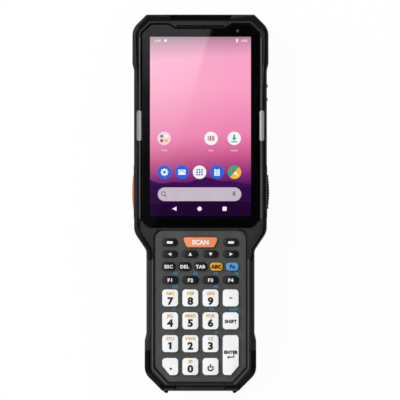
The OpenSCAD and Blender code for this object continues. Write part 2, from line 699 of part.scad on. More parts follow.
// ---- Side keys ----
module side_key(s) {
    face = head_low_w / 2 + side_key_stand;
    root = side_inner - 0.1;
    intersection() {
        box(s * (root - 0.2 + face) / 2, side_y, side_z - side_key_h / 2,
            [face - root + 0.2, side_key_len, side_key_h]);
        translate([s * (face - side_key_bulge), side_y, 0])
            cylinder(r = side_key_bulge, h = z_rim, $fn = 180);
    }
    box(s * (root - side_flange_t / 2), side_y, side_z - side_key_h / 2 - 0.7,
        [side_flange_t, side_key_len + 2, side_key_h + 1.4]);
}
module left_scan_key() {
    color("#f2682a") side_key(-1);
}
module right_scan_key() {
    face = head_low_w / 2 + side_key_stand;
    color("#1b1b1c") difference() {
        side_key(1);
        for (i = [-5 : 5]) translate([face - side_key_bulge, side_y, side_z - side_key_h])
            rotate(i * 88 / side_key_bulge) translate([side_key_bulge + 0.3, 0, 0])
                cylinder(r = 0.6, h = 2 * side_key_h, $fn = fine);
    }
}
module volume_rocker() {
    inner = side_inner - 0.6;
    face = head_low_w / 2 + 0.3;
    color("#1b1b1c") union() {
        box((inner + face) / 2, rocker_y, side_z - side_key_h / 2, [face - inner, rocker_len, side_key_h]);
        translate([inner - 0.3, rocker_y, side_z - side_key_h / 2])
            cylinder(r = 1.2, h = side_key_h, $fn = fine);
        for (s = [-1, 1]) translate([face - 0.9, rocker_y + s * 3.8, side_z - side_key_h / 2])
            cylinder(r = 1.4, h = side_key_h, $fn = fine);
    }
}

// ---- Inside ----
module main_board() {
    color("#1f5c3a") difference() {
        union() {
            box(0, at(73), z_main, [board_w, 90 * stretch, board_t]);
            // screening cans and the connector to the keypad board
            box(-0.2 * board_w, at(80), z_main - 2.2, [0.38 * board_w, 30, 2.2]);
            box(0.26 * board_w, at(74), z_main - 1.8, [0.28 * board_w, 22, 1.8]);
            box(4, at(112), z_main + board_t, [18, 5, 1.4]);
            // switches behind the side keys
            for (s = [-1, 1]) box(s * (switch_x - 2.5), side_y, z_main, [5, 6, 3.4]);
            for (s = [-1, 1]) box(side_inner - 3.4, rocker_y + s * 5, z_main, [4.6, 4, 3.4]);
        }
        for (i = [2, 3]) translate([SCREWS[i][0], SCREWS[i][1], z_main - 1])
            cylinder(r = 3, h = 9, $fn = fine);
    }
}
module scan_engine() {
    color("#2b2d31") difference() {
        box(0, y_top - 15.6, scan_z - 5.6, [26, 14, 11.2]);
        for (b = [[-6, 0, 3.2], [6.4, 0, 2.4], [1, 3, 0.8]])
            translate([b[0], y_top - 7, scan_z + b[1]]) rotate([90, 0, 0])
                cylinder(r = b[2], h = 6, $fn = fine);
    }
}
module scan_window() {
    color("#3a0c10") slot_y(0, y_top - rubber_t, scan_z, scan_w, scan_h, 1.9, 1.2);
}
module loudspeaker() {
    color("#303134") box(speaker_x, speaker_y, wall, [17, 13, 3.4]);
}
module rear_camera() {
    color("#101114") translate([cam_x, at(cam_at), 0]) union() {
        difference() {
            translate([0, 0, 0.4]) cylinder(r = cam_r, h = 4.2, $fn = fine);
            translate([0, 0, -1]) cylinder(r = 3.6, h = 2.2, $fn = fine);
        }
        translate([0, 0, 0.9]) cylinder(r = 1.4, h = 2, $fn = fine);
        box(0, 0, 4, [9, 9, 2.4]);
    }
}
module case_screws() {
    color("#8a8c8f") for (p = SCREWS) translate([p[0], p[1], 0]) difference() {
        union() {
            translate([0, 0, 2.4]) cylinder(r = screw_head_r, h = 1.6, $fn = fine);
            translate([0, 0, 3.9]) cylinder(r = screw_r, h = parting + boss_h - 4.7, $fn = fine);
        }
        translate([0, 0, 1.4]) cylinder(r = 0.9, h = 1.8, $fn = 6);
    }
}
module battery_contacts() {
    color("#c9a548") union() {
        box(0, contact_y, grip_rise + 5.6, [14, 2.4, 5]);
        for (i = [-1.5 : 1.5]) box(i * 3, contact_y - 1.6, grip_rise + 6.4, [1.2, 1, 3.2]);
    }
}
module battery_pack() {
    len_y = at(bay_at) - hinge_y - 4.2;
    color("#34383d") difference() {
        translate([0, at(bay_at) - 0.6 - len_y / 2, grip_rise + 4.2])
            slab(bay_w - 0.8, len_y, pack_t, 1.5);
        // recess for the contact blades
        box(0, at(bay_at), grip_rise + 6, [13, 3.4, 4]);
    }
}
module tail_connector() {
    color("#26282b") difference() {
        box(0, mouth_y + 3.6, port_z - 5, [20, 7.2, z_keyboard - port_z + 5]);
        slot_y(0, mouth_y + 6, port_z, 8.9, 3.1, 1.5, 12);
    }
    color("#c9a548") slot_y(0, mouth_y + 6, port_z, 6.6, 0.7, 0.3, 5.4);
}

// ---- Battery cover and flap ----
module battery_cover() {
    low = grip_rise - 1.8;
    inner = grip_rise + 2.4;
    y1 = hinge_y + 3.3;
    y2 = at(bay_at) - cover_gap;
    crown = 145;
    barrel_x = lug_x - lug_t / 2 - 0.4;
    color("#2c2d2f") difference() {
        union() {
            intersection() {
                translate([-bay_w / 2 + cover_gap, 0, 0]) rotate([90, 0, 90])
                    linear_extrude(bay_w - 2 * cover_gap)
                        polygon([[y1, inner], [y1, grip_rise], [y1 + 4, low], [y2 - 6, low],
                            [y2, grip_rise + 0.2], [y2, inner]]);
                translate([0, 0, low + crown]) rotate([90, 0, 0])
                    cylinder(r = crown, h = 300, center = true, $fn = 128);
            }
            box(0, hinge_y + 1.8, hinge_z - barrel_r, [2 * barrel_x, 3.6, 1.6]);
            rod_x(hinge_y, hinge_z, barrel_r, -barrel_x, barrel_x);
        }
        rod_x(hinge_y, hinge_z, pin_r + pin_gap, -30, 30);
        // thumb grooves
        for (i = [0 : 3]) rod_x(y2 - 9 - i * 2.2, low - 0.1, 0.7, -9, 9);
    }
}
module cover_hinge_pin() {
    half = lug_x + lug_t / 2;
    color("#b5b7ba") rod_x(hinge_y, hinge_z, pin_r, -half, half);
}
module usb_flap() {
    color("#1b1b1c") union() {
        difference() {
            slot_y(0, y_end + flap_t, port_z + 0.2, flap_w, port_h + 1.8, 1.4, flap_t);
            box(0, y_end, flap_z - 3, [flap_w + 2, 6, 2.2]);
        }
        rod_x(flap_y, flap_z, 0.95, -flap_w / 2, flap_w / 2);
        box(0, y_end + flap_t / 2, flap_z, [flap_w - 1, flap_t, 1.6]);
    }
}

front_case();
rear_case();
case_gasket();
head_bumper();
grip_strips();
tail_bumper();
display_window();
display_module();
keypad_bezel();
keypad_mat();
keypad_board();
status_light_pipes();
earpiece();
front_camera();
left_scan_key();
right_scan_key();
volume_rocker();
main_board();
scan_engine();
scan_window();
loudspeaker();
rear_camera();
case_screws();
battery_contacts();
battery_pack();
tail_connector();
battery_cover();
cover_hinge_pin();
usb_flap();
for (k = KEYS) key(k);
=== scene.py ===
"""Finishes, prints and small fittings of a portable barcode data terminal, on its CAD frame."""

import math

import bmesh
import bpy
from bpy.props import FloatProperty, FloatVectorProperty, IntProperty, PointerProperty
from mathutils import Matrix, Vector
from mathutils.bvhtree import BVHTree


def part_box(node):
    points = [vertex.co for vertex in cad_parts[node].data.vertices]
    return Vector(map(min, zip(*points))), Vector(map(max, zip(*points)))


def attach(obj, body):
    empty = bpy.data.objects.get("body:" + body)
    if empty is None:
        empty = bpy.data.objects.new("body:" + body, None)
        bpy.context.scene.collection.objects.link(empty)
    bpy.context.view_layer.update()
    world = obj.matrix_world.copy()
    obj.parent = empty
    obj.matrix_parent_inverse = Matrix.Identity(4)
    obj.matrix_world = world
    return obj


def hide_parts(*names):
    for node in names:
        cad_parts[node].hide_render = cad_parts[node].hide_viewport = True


bl_info = {
    "name": "Data terminal finishes",
    "version": (1, 0, 0),
    "blender": (4, 5, 0),
    "location": "3D View > Sidebar > Terminal",
    "description": "Finishes, prints and fittings of a portable barcode data terminal",
    "category": "Object",
}

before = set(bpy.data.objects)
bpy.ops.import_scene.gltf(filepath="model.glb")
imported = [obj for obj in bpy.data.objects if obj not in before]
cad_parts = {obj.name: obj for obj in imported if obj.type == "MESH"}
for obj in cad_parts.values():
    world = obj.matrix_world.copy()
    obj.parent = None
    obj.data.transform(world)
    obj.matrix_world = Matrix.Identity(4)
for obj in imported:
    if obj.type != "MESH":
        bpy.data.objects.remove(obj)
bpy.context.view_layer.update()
MM = 0.001
HOUSING = "housing"

# In millimetres
PICTURE_LIFT = 0.02   # first layer of print over the face that carries it
LAYER = 0.012         # each further layer over the one before
WINDOW_CORNER = 5.8   # radius of the window's lower corners


# ---------------------------------------------------------------- settings

def colour(name, description, value):
    """A colour that a user can change"""
    return FloatVectorProperty(name=name, description=description, subtype="COLOR",
                               size=3, min=0.0, max=1.0, default=value)


def length(name, description, value, low=0.0, high=1.0):
    """A length that a user can change, in metres"""
    return FloatProperty(name=name, description=description, subtype="DISTANCE",
                         unit="LENGTH", precision=5, min=low, max=high, default=value)


class HousingLook(bpy.types.PropertyGroup):
    """Colours and grain of the cases and the rubber"""
    front: colour("Front case", "Colour of the front moulding", (0.0185, 0.0188, 0.0190))
    # painted highlight: the rim line is paler than the front case, standing in for the highlight
    # along the case's ridge
    rim: colour("Rim line", "Colour of the line between rubber and glass", (0.070, 0.071, 0.072))
    rear: colour("Rear case", "Colour of the rear moulding", (0.020, 0.0205, 0.0215))
    plate: colour("Keypad plate", "Colour of the keypad's plate", (0.068, 0.072, 0.071))
    rubber: colour("Bumper rubber", "Colour of the bumpers", (0.0030, 0.0030, 0.0032))
    grip: colour("Grip rubber", "Colour of the strips beside the keypad", (0.0095, 0.0105, 0.0102))
    light_bar: colour("Light bars", "Colour of the frosted light bars", (0.42, 0.435, 0.45))
    grain: length("Grain", "Size of the moulded grain", 0.0005, 0.0001, 0.003)
    edge: length("Edge", "Rounding of the cases' edges", 0.0003, 0.0, 0.001)


class ScreenLook(bpy.types.PropertyGroup):
    """Colours of the lit picture"""
    mist: colour("Mist", "Top of the sky", (0.36, 0.19, 0.27))
    haze: colour("Haze", "Sky under the mist", (0.62, 0.27, 0.42))
    veil: colour("Veil", "Palest band of the sky", (0.93, 0.38, 0.58))
    high: colour("High sky", "Upper part of the sky", (0.97, 0.36, 0.57))
    middle: colour("Middle sky", "Middle of the sky", (0.84, 0.22, 0.43))
    low: colour("Low sky", "Sky over the dunes", (0.58, 0.095, 0.26))
    dusk: colour("Dusk", "Sky behind the dunes", (0.22, 0.024, 0.20))
    dune: colour("Dunes", "Colour of the dunes", (0.030, 0.004, 0.058))
    # painted glare: a pale colour screened over the sky's upper left, standing in for the window's
    # reflection of the light
    painted_glare: colour("Painted_glare", "What pales the sky's upper left", (0.10, 0.15, 0.12))
    glow: FloatProperty(name="Glow", description="Brightness of the picture",
                        min=0.0, max=2.0, default=1.0)


class KeypadLook(bpy.types.PropertyGroup):
    """Colours of the caps and their print"""
    white: colour("White caps", "Colour of the number keys", (0.935, 0.94, 0.95))
    black: colour("Black caps", "Colour of the small keys", (0.007, 0.0073, 0.0077))
    orange: colour("Orange caps", "Colour of the scan keys", (0.92, 0.27, 0.10))
    yellow: colour("Yellow cap", "Colour of the letter mode key", (0.78, 0.40, 0.012))
    blue: colour("Blue cap", "Colour of the second function key", (0.085, 0.32, 0.64))
    digit_height: length("Digits", "Height of the digits", 0.0040, 0.001, 0.006)
    letter_height: length("Letters", "Height of the letter groups", 0.0018, 0.0005, 0.003)
    word_height: length("Words", "Height of the words on the caps", 0.0019, 0.0005, 0.003)
    cap_edge: length("Cap edge", "Rounding of the caps' edges", 0.0004, 0.0, 0.001)


class FittingLook(bpy.types.PropertyGroup):
    """Sizes of the small fittings"""
    mesh_pitch: length("Mesh pitch", "Distance between the mesh's holes", 0.0006, 0.0003, 0.002)
    mesh_hole: length("Mesh hole", "Radius of the mesh's holes", 0.00018, 0.00005, 0.001)
    rib_pitch: length("Rib pitch", "Distance between the tail's corner ribs", 0.001, 0.0005, 0.003)
    rib_count: IntProperty(name="Ribs", description="Number of ribs on a tail corner",
                           min=1, max=20, default=10)


class StageLook(bpy.types.PropertyGroup):
    """Floor, light and camera"""
    floor: colour("Floor", "Colour of the floor", (0.92, 0.92, 0.92))
    fill: FloatProperty(name="Fill", description="Strength of the light from all round",
                        min=0.0, max=2.0, default=0.62)
    key: FloatProperty(name="Key light", description="Power of the large lamp", subtype="POWER",
                       unit="POWER", min=0.0, max=100.0, default=8.6)
    camera_height: length("Camera height", "Camera's height over the front", 1.3, 0.3, 5.0)
    view_width: length("View width", "Width of the picture at the front", 0.22216, 0.05, 1.0)


# ---------------------------------------------------------------- finishes

def math_node(tree, operation, *sources):
    """A sum on outputs and numbers in a shader tree"""
    made = tree.nodes.new("ShaderNodeMath")
    made.operation = operation
    for socket, source in zip(made.inputs, sources):
        if isinstance(source, float):
            socket.default_value = source
        else:
            tree.links.new(source, socket)
    return made.outputs["Value"]


class Finish:
    """A material whose colour, gloss and relief come from patterns on object coordinates."""

    def __init__(self, name, base, roughness, **values):
        self.material = bpy.data.materials.new(name)
        self.material.use_nodes = True
        self.tree = self.material.node_tree
        self.shader = self.tree.nodes["Principled BSDF"]
        self.base = tuple(base)
        self.shader.inputs["Base Color"].default_value = (*base, 1.0)
        self.shader.inputs["Roughness"].default_value = roughness
        for socket, value in values.items():
            self.shader.inputs[socket.replace("_", " ")].default_value = value
        self.place = self.node("ShaderNodeTexCoord").outputs["Object"]

    def node(self, kind, **settings):
        """A shader node with its settings"""
        made = self.tree.nodes.new(kind)
        for name, value in settings.items():
            setattr(made, name, value)
        return made

    def link(self, source, target):
        """Joins an output to an input"""
        self.tree.links.new(source, target)

    def math(self, operation, *sources):
        """A sum on outputs and numbers"""
        return math_node(self.tree, operation, *sources)

    def axes(self):
        """Object coordinates, to be taken by X, Y or Z"""
        split = self.node("ShaderNodeSeparateXYZ")
        self.link(self.place, split.inputs["Vector"])
        return split.outputs

    def noise(self, size, detail=3.0, roughness=0.5, stretch=(1, 1, 1)):
        """Noise with features about size metres across, from 0 to 1"""
        noise = self.node("ShaderNodeTexNoise")
        noise.inputs["Scale"].default_value = 1.0 / size
        noise.inputs["Detail"].default_value = detail
        noise.inputs["Roughness"].default_value = roughness
        mapping = self.node("ShaderNodeMapping")
        mapping.inputs["Scale"].default_value = stretch
        self.link(self.place, mapping.inputs["Vector"])
        self.link(mapping.outputs["Vector"], noise.inputs["Vector"])
        return noise.outputs["Fac"]

    def cells(self, size):
        """Rounded cells about size metres across, 0 in their middles"""
        cells = self.node("ShaderNodeTexVoronoi")
        cells.inputs["Scale"].default_value = 1.0 / size
        self.link(self.place, cells.inputs["Vector"])
        return cells.outputs["Distance"]

    def ramp(self, source, stops, smooth=True):
        """Colours spread over a value; stops are (place, colour)"""
        ramp = self.node("ShaderNodeValToRGB")
        ramp.color_ramp.interpolation = "EASE" if smooth else "LINEAR"
        elements = ramp.color_ramp.elements
        while len(elements) < len(stops):
            elements.new(0.5)
        for element, (place, tint) in zip(elements, stops):
            element.position = place
            element.color = (*tint, 1.0)
        self.link(source, ramp.inputs["Fac"])
        return ramp.outputs["Color"]

    def spread(self, source, low, high, from_low=0.3, from_high=0.7):
        """Source stretched from one span to another"""
        spread = self.node("ShaderNodeMapRange")
        for socket, value in zip(("From Min", "From Max", "To Min", "To Max"),
                                 (from_low, from_high, low, high)):
            spread.inputs[socket].default_value = value
        self.link(source, spread.inputs["Value"])
        return spread.outputs["Result"]

    def mottle(self, source, share):
        """Colour that drifts by share to either side of the base"""
        darker = [c * (1 - share) for c in self.base]
        lighter = [min(c * (1 + share), 1.0) for c in self.base]
        tint = self.ramp(source, [(0.3, darker), (0.7, lighter)])
        self.link(tint, self.shader.inputs["Base Color"])
        return self

    def gloss(self, source, low, high):
        """Roughness that drifts from low to high"""
        self.link(self.spread(source, low, high), self.shader.inputs["Roughness"])
        return self

    def relief(self, source, depth, strength=1.0):
        """Bump of the given depth in metres"""
        bump = self.node("ShaderNodeBump")
        bump.inputs["Strength"].default_value = strength
        bump.inputs["Distance"].default_value = depth
        self.link(source, bump.inputs["Height"])
        self.link(bump.outputs["Normal"], self.shader.inputs["Normal"])
        return self


def moulded(name, base, roughness, grain, depth=0.00003, share=0.10, **values):
    """Moulded plastic with a spark-eroded grain and faint flow marks"""
    made = Finish(name, base, roughness, **values)
    made.mottle(made.noise(0.009), share)
    made.gloss(made.noise(0.004), roughness - 0.06, roughness + 0.06)
    return made.relief(made.noise(grain, 2.0), depth).material


def rubber(name, base, roughness=0.62, grain=0.0006, sheen=0.32):
    """Matt rubber with pebbled skin and rubbed, slightly paler patches"""
    made = Finish(name, base, roughness, Specular_IOR_Level=sheen)
    made.mottle(made.noise(0.012, 4.0, 0.6), 0.15)
    made.gloss(made.noise(0.005), roughness - 0.05, roughness + 0.06)
    return made.relief(made.cells(grain), 0.00004).material


def metal(name, base, roughness=0.32):
    """Turned metal with fine scratches along X"""
    made = Finish(name, base, roughness, Metallic=1.0)
    made.mottle(made.noise(0.003), 0.12)
    made.gloss(made.noise(0.0012, 2.0, 0.5, (0.1, 1, 1)), roughness - 0.1, roughness + 0.12)
    return made.relief(made.noise(0.0004, 2.0, 0.5, (0.05, 1, 1)), 0.00001).material


def board(name, base):
    """Solder mask over copper runs"""
    made = Finish(name, base, 0.35)
    wave = made.node("ShaderNodeTexWave", wave_type="BANDS", bands_direction="DIAGONAL")
    wave.inputs["Scale"].default_value = 260.0
    wave.inputs["Distortion"].default_value = 6.0
    made.link(made.place, wave.inputs["Vector"])
    pale = [min(c * 1.7 + 0.01, 1.0) for c in base]
    made.link(made.ramp(wave.outputs["Fac"], [(0.55, base), (0.75, pale)]),
              made.shader.inputs["Base Color"])
    return made.relief(wave.outputs["Fac"], 0.00004).material


def ink(name, base, roughness=0.5):
    """Printed ink with a faintly uneven film"""
    made = Finish(name, base, roughness)
    made.mottle(made.noise(0.0009), 0.06)
    made.gloss(made.noise(0.0006), roughness - 0.08, roughness + 0.08)
    return made.relief(made.noise(0.0002, 2.0), 0.000004).material


def lit(name, tint, strength=1.0):
    """A lit part of the picture, under the window's gloss"""
    made = Finish(name, (0.0, 0.0, 0.0), 0.02)
    made.shader.inputs["Emission Strength"].default_value = strength
    dim = [c * 0.96 for c in tint]
    glow = made.ramp(made.noise(0.004), [(0.3, dim), (0.7, tint)])
    made.link(glow, made.shader.inputs["Emission Color"])
    return made.relief(made.noise(0.02, 1.0), 0.000002).material


def window_glass(name, base):
    """Hardened glass with its black print, a few hairline scuffs and faint smears"""
    made = Finish(name, base, 0.02, Specular_IOR_Level=0.5)
    made.mottle(made.noise(0.02), 0.2)
    made.gloss(made.noise(0.018, 5.0, 0.65), 0.01, 0.03)
    return made.relief(made.noise(0.03, 1.0), 0.000002).material


# ---------------------------------------------------------------- mesh helpers

SAME_CORNER = 2e-6    # corners of a CAD mesh nearer than this are one, in metres
SAME_FLAT = 0.6       # triangles that differ by less than this are one flat, in degrees
SHARP = 38.0          # edges sharper than this are rounded, in degrees


def clamped(value):
    """Value held between 0 and 1"""
    return min(max(value, 0.0), 1.0)


def middle_of(node):
    """Middle of a CAD node's box, in metres"""
    return [(low + high) / 2 for low, high in zip(*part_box(node))]


def linked(name, data):
    """A new object in the scene"""
    made = bpy.data.objects.new(name, data)
    bpy.context.scene.collection.objects.link(made)
    return made


def final_mesh(carrier):
    """The mesh that an object's modifiers or font make; the object itself goes"""
    graph = bpy.context.evaluated_depsgraph_get()
    mesh = bpy.data.meshes.new_from_object(carrier.evaluated_get(graph))
    bpy.data.objects.remove(carrier)
    return mesh


def mesh_of(bm, name):
    """A new mesh made of a bmesh, which is freed"""
    mesh = bpy.data.meshes.new(name)
    bm.to_mesh(mesh)
    bm.free()
    return mesh


def cut(bm, place, normal, **settings):
    """Cuts all faces of a bmesh along a plane"""
    bmesh.ops.bisect_plane(bm, geom=bm.verts[:] + bm.edges[:] + bm.faces[:],
                           plane_co=place, plane_no=normal, **settings)


def new_piece(name, mesh, body=HOUSING, replaces=()):
    """Links a finished mesh as a piece that rides on a CAD body"""
    piece = linked(name, mesh)
    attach(piece, body)
    if replaces:
        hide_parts(*replaces)
    return piece


def smooth_by_angle(mesh, angle=35.0):
    """Smooth shading that stops at edges sharper than angle"""
    limit = math.radians(angle)
    bm = bmesh.new()
    bm.from_mesh(mesh)
    for face in bm.faces:
        face.smooth = True
    for edge in bm.edges:
        edge.smooth = edge.is_manifold and edge.calc_face_angle(0.0) < limit
    bm.to_mesh(mesh)
    bm.free()


def merged_copy(node):
    """The mesh of a CAD node with its corners joined and its flat faces whole"""
    bm = bmesh.new()
    bm.from_mesh(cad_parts[node].data)
    bmesh.ops.remove_doubles(bm, verts=bm.verts, dist=SAME_CORNER)
    bmesh.ops.dissolve_limit(bm, angle_limit=math.radians(SAME_FLAT), verts=bm.verts,
                             edges=bm.edges, delimit=set())
    return mesh_of(bm, node)


def with_modifier(mesh, kind, **settings):
    """The mesh as one modifier leaves it"""
    carrier = linked(mesh.name, mesh)
    modifier = carrier.modifiers.new(kind, kind)
    for name, value in settings.items():
        setattr(modifier, name, value)
    return final_mesh(carrier)


def dress(mesh, material):
    """Makes one material the only one on a mesh"""
    mesh.materials.clear()
    mesh.materials.append(material)


def paint(node, material):
    """Gives a CAD node its finish"""
    dress(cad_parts[node].data, material)


def reskin(piece, material, covers):
    """Gives another material to the faces whose centre and normal pass a test"""
    materials = piece.data.materials
    materials.append(material)
    for face in piece.data.polygons:
        if covers(face.center, face.normal):
            face.material_index = len(materials) - 1


def rounded_piece(node, name, material, width, body=HOUSING, segments=2, domed=False,
                  reshape=None):
    """Stands for a CAD node with its sharp edges rounded; its flats stay flat unless domed"""
    mesh = merged_copy(node)
    if reshape:
        reshape(mesh)
    if width > 0.0:
        mesh = with_modifier(mesh, "BEVEL", width=width, segments=segments,
                             limit_method="ANGLE", angle_limit=math.radians(SHARP),
                             miter_outer="MITER_ARC")
    smooth_by_angle(mesh, 80.0 if domed else 35.0)
    if not domed:
        mesh = with_modifier(mesh, "WEIGHTED_NORMAL", mode="FACE_AREA", keep_sharp=True)
    dress(mesh, material)
    return new_piece(name, mesh, body, (node,))


# ---------------------------------------------------------------- small corrections of form

def drag_end(mesh, start, end, by):
    """Moves the end of a piece along Y, and what lies before it less and less back to start"""
    for vert in mesh.vertices:
        vert.co.y += by * clamped((vert.co.y - start) / (end - start))


SKIN_DEPTH = 0.0022   # rubber further than this from the front case's wall is outer skin
PROBE_DEPTH = 0.002   # the wall is sought this far below the front case's face
FRAME_FULL = 0.0030   # the frame round a side key is whole up to this far past the key's ends
FRAME_END = 0.0048    # and has run out here
SLANT = 0.71          # cosine of 45 degrees: skin turned further from the sides may stay


def swell(mesh, sides, ends, beside=0.0):
    """Moves a rubber piece's outer skin out: its sides, its ends, and more beside the side keys

    Where the ends keep their place, the slanted skin fades from the moved sides to them.
    """
    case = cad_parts["front_case"].data
    wall = BVHTree.FromPolygons([vert.co for vert in case.vertices],
                                [face.vertices for face in case.polygons])
    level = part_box("front_case")[1].z - PROBE_DEPTH
    low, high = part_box("left_scan_key")
    key_y, reach = (low.y + high.y) / 2, (high.y - low.y) / 2
    bm = bmesh.new()
    bm.from_mesh(mesh)
    if beside:
        for side in (-1, 1):
            for step in (FRAME_FULL, FRAME_END):
                cut(bm, (0, key_y + side * (reach + step), 0), (0, 1, 0))
    for vert in bm.verts:
        probe = Vector((vert.co.x, vert.co.y, level))
        away = probe - wall.find_nearest(probe)[0]
        if away.length > SKIN_DEPTH:
            away.normalize()
            past = abs(vert.co.y - key_y) - reach
            out = sides + beside * clamped((FRAME_END - past) / (FRAME_END - FRAME_FULL))
            fade = 1.0 if ends else max(abs(away.x) - SLANT, 0.0) / (1.0 - SLANT)
            vert.co.x += away.x * out * fade
            vert.co.y += away.y * ends
    bm.to_mesh(mesh)
    bm.free()


SIDE_KEY_FACE = 0.0365   # a side key's outer face lies further from the middle than this


def flatten_bulge(mesh, middle, ends):
    """Moves a side key's face out, by one measure at its middle and by another at its ends"""
    face = [vert for vert in mesh.vertices if abs(vert.co.x) > SIDE_KEY_FACE]
    low, high = min(vert.co.y for vert in face), max(vert.co.y for vert in face)
    for vert in face:
        along = abs(2 * vert.co.y - low - high) / (high - low)
        vert.co.x += math.copysign(middle + (ends - middle) * along ** 2, vert.co.x)


# ---------------------------------------------------------------- print

CAPITAL = 0.729   # height of a capital for a font size of 1
BEND = 0.6        # a print on a crowned cap bends at every 0.6 mm


def words_mesh(words, weight, spacing):
    """Words as a flat mesh, one unit high, centred on the origin"""
    curve = bpy.data.curves.new("words", "FONT")
    curve.body = words
    curve.space_character = spacing
    curve.align_x = "CENTER"
    curve.offset = weight
    curve.resolution_u = 3
    mesh = final_mesh(linked("words", curve))
    bpy.data.curves.remove(curve)
    return mesh


class Sheet:
    """Flat shapes in millimetres, gathered into one mesh with a material for each ink."""

    def __init__(self):
        self.bm = bmesh.new()
        self.inks = []

    def _index(self, material):
        """Place of a material among the sheet's inks"""
        if material not in self.inks:
            self.inks.append(material)
        return self.inks.index(material)

    def polygon(self, points, z, material):
        """One flat face that looks up, whichever way its points run"""
        area = sum(a[0] * b[1] - b[0] * a[1] for a, b in zip(points, points[1:] + points[:1]))
        ring = points if area > 0 else points[::-1]
        face = self.bm.faces.new([self.bm.verts.new((x, y, z)) for x, y in ring])
        face.material_index = self._index(material)

    def disc(self, x, y, radius, z, material, sides=40):
        """Round spot"""
        self.polygon([(x + radius * math.cos(a), y + radius * math.sin(a))
                      for a in (2 * math.pi * i / sides for i in range(sides))], z, material)

    def arc(self, x, y, inner, outer, start, end, z, material, steps=24):
        """Ring, or a part of one, between two angles in degrees"""
        angles = [math.radians(start + (end - start) * i / steps) for i in range(steps + 1)]
        for a, b in zip(angles, angles[1:]):
            self.polygon([(x + r * math.cos(t), y + r * math.sin(t))
                          for r, t in ((inner, a), (outer, a), (outer, b), (inner, b))],
                         z, material)

    def bar(self, x, y, width, height, radius, z, material, turn=0.0):
        """Rectangle with round corners, turned by degrees about its middle"""
        shortest = 1e-4   # of a straight between two corners
        radius = min(radius, width / 2 - shortest, height / 2 - shortest)
        points = []
        for corner, (sx, sy) in enumerate(((1, 1), (-1, 1), (-1, -1), (1, -1))):
            cx, cy = sx * (width / 2 - radius), sy * (height / 2 - radius)
            for quarter in range(5):
                angle = math.radians(90 * (corner + quarter / 4))
                points.append((cx + radius * math.cos(angle), cy + radius * math.sin(angle)))
        c, s = math.cos(math.radians(turn)), math.sin(math.radians(turn))
        self.polygon([(x + c * px - s * py, y + s * px + c * py) for px, py in points],
                     z, material)

    def text(self, words, x, y, height, z, material, weight=0.0, widen=1.0, spacing=1.0):
        """Words whose capitals are height tall, centred on x, y"""
        mesh = words_mesh(words, weight, spacing)
        scale = height / CAPITAL
        mesh.transform(Matrix.Translation((x, y - height / 2, z))
                       @ Matrix.Diagonal((scale * widen, scale, 0, 1)))
        first = len(self.bm.faces)
        self.bm.from_mesh(mesh)
        self.bm.faces.ensure_lookup_table()
        index = self._index(material)
        for face in self.bm.faces[first:]:
            face.material_index = index
        bpy.data.meshes.remove(mesh)

    def mesh(self, name, rise=None):
        """The shapes in metres; rise gives the height of the surface under an x"""
        if rise:
            spread = [vert.co.x for vert in self.bm.verts]
            for i in range(math.ceil(min(spread) / BEND), math.floor(max(spread) / BEND) + 1):
                cut(self.bm, (i * BEND, 0, 0), (1, 0, 0))
            for vert in self.bm.verts:
                vert.co.z += rise(vert.co.x)
        for vert in self.bm.verts:
            vert.co *= MM
        made = mesh_of(self.bm, name)
        for material in self.inks:
            made.materials.append(material)
        return made


# ---------------------------------------------------------------- repeated details

class Repeater:
    """A Geometry Nodes tree with named inputs, applied to make one plain mesh."""

    def __init__(self, name, inputs):
        self.tree = bpy.data.node_groups.new(name, "GeometryNodeTree")
        self.tree.interface.new_socket("Geometry", in_out="OUTPUT",
                                       socket_type="NodeSocketGeometry")
        self.values = {}
        for label, (kind, value) in inputs.items():
            socket = self.tree.interface.new_socket(label, in_out="INPUT", socket_type=kind)
            self.values[socket.identifier] = value
        self.inputs = self.tree.nodes.new("NodeGroupInput").outputs

    def node(self, kind, links=None, values=None, **settings):
        """A node with its links, its sockets' values and its settings"""
        made = self.tree.nodes.new(kind)
        for name, value in settings.items():
            setattr(made, name, value)
        for socket, value in (values or {}).items():
            made.inputs[socket].default_value = value
        for socket, source in (links or {}).items():
            self.tree.links.new(source, made.inputs[socket])
        return made

    def finish(self, instances, material):
        """Ends the tree in real geometry with its material"""
        real = self.node("GeometryNodeRealizeInstances", {"Geometry": instances})
        dressed = self.node("GeometryNodeSetMaterial", {"Geometry": real.outputs["Geometry"]},
                            {"Material": material})
        self.node("NodeGroupOutput", {"Geometry": dressed.outputs["Geometry"]})

    def mesh(self, name):
        """What the tree makes with its inputs' values"""
        carrier = linked(name, bpy.data.meshes.new(name))
        modifier = carrier.modifiers.new(name, "NODES")
        modifier.node_group = self.tree
        for identifier, value in self.values.items():
            modifier[identifier] = value
        return final_mesh(carrier)


def perforations(name, width, height, pitch, hole, material):
    """Rows of small round holes in a rectangle, in metres, centred on the origin"""
    tree = Repeater(name, {
        "Width": ("NodeSocketFloat", width), "Height": ("NodeSocketFloat", height),
        "Columns": ("NodeSocketInt", max(int(width / pitch), 2)),
        "Rows": ("NodeSocketInt", max(int(height / pitch), 2)),
        "Hole Radius": ("NodeSocketFloat", hole)})
    grid = tree.node("GeometryNodeMeshGrid", {
        "Size X": tree.inputs["Width"], "Size Y": tree.inputs["Height"],
        "Vertices X": tree.inputs["Columns"], "Vertices Y": tree.inputs["Rows"]})
    disc = tree.node("GeometryNodeMeshCircle", {"Radius": tree.inputs["Hole Radius"]},
                     {"Vertices": 8}, fill_type="NGON")
    holes = tree.node("GeometryNodeInstanceOnPoints", {
        "Points": grid.outputs["Mesh"], "Instance": disc.outputs["Mesh"]})
    tree.finish(holes.outputs["Instances"], material)
    return tree.mesh(name)


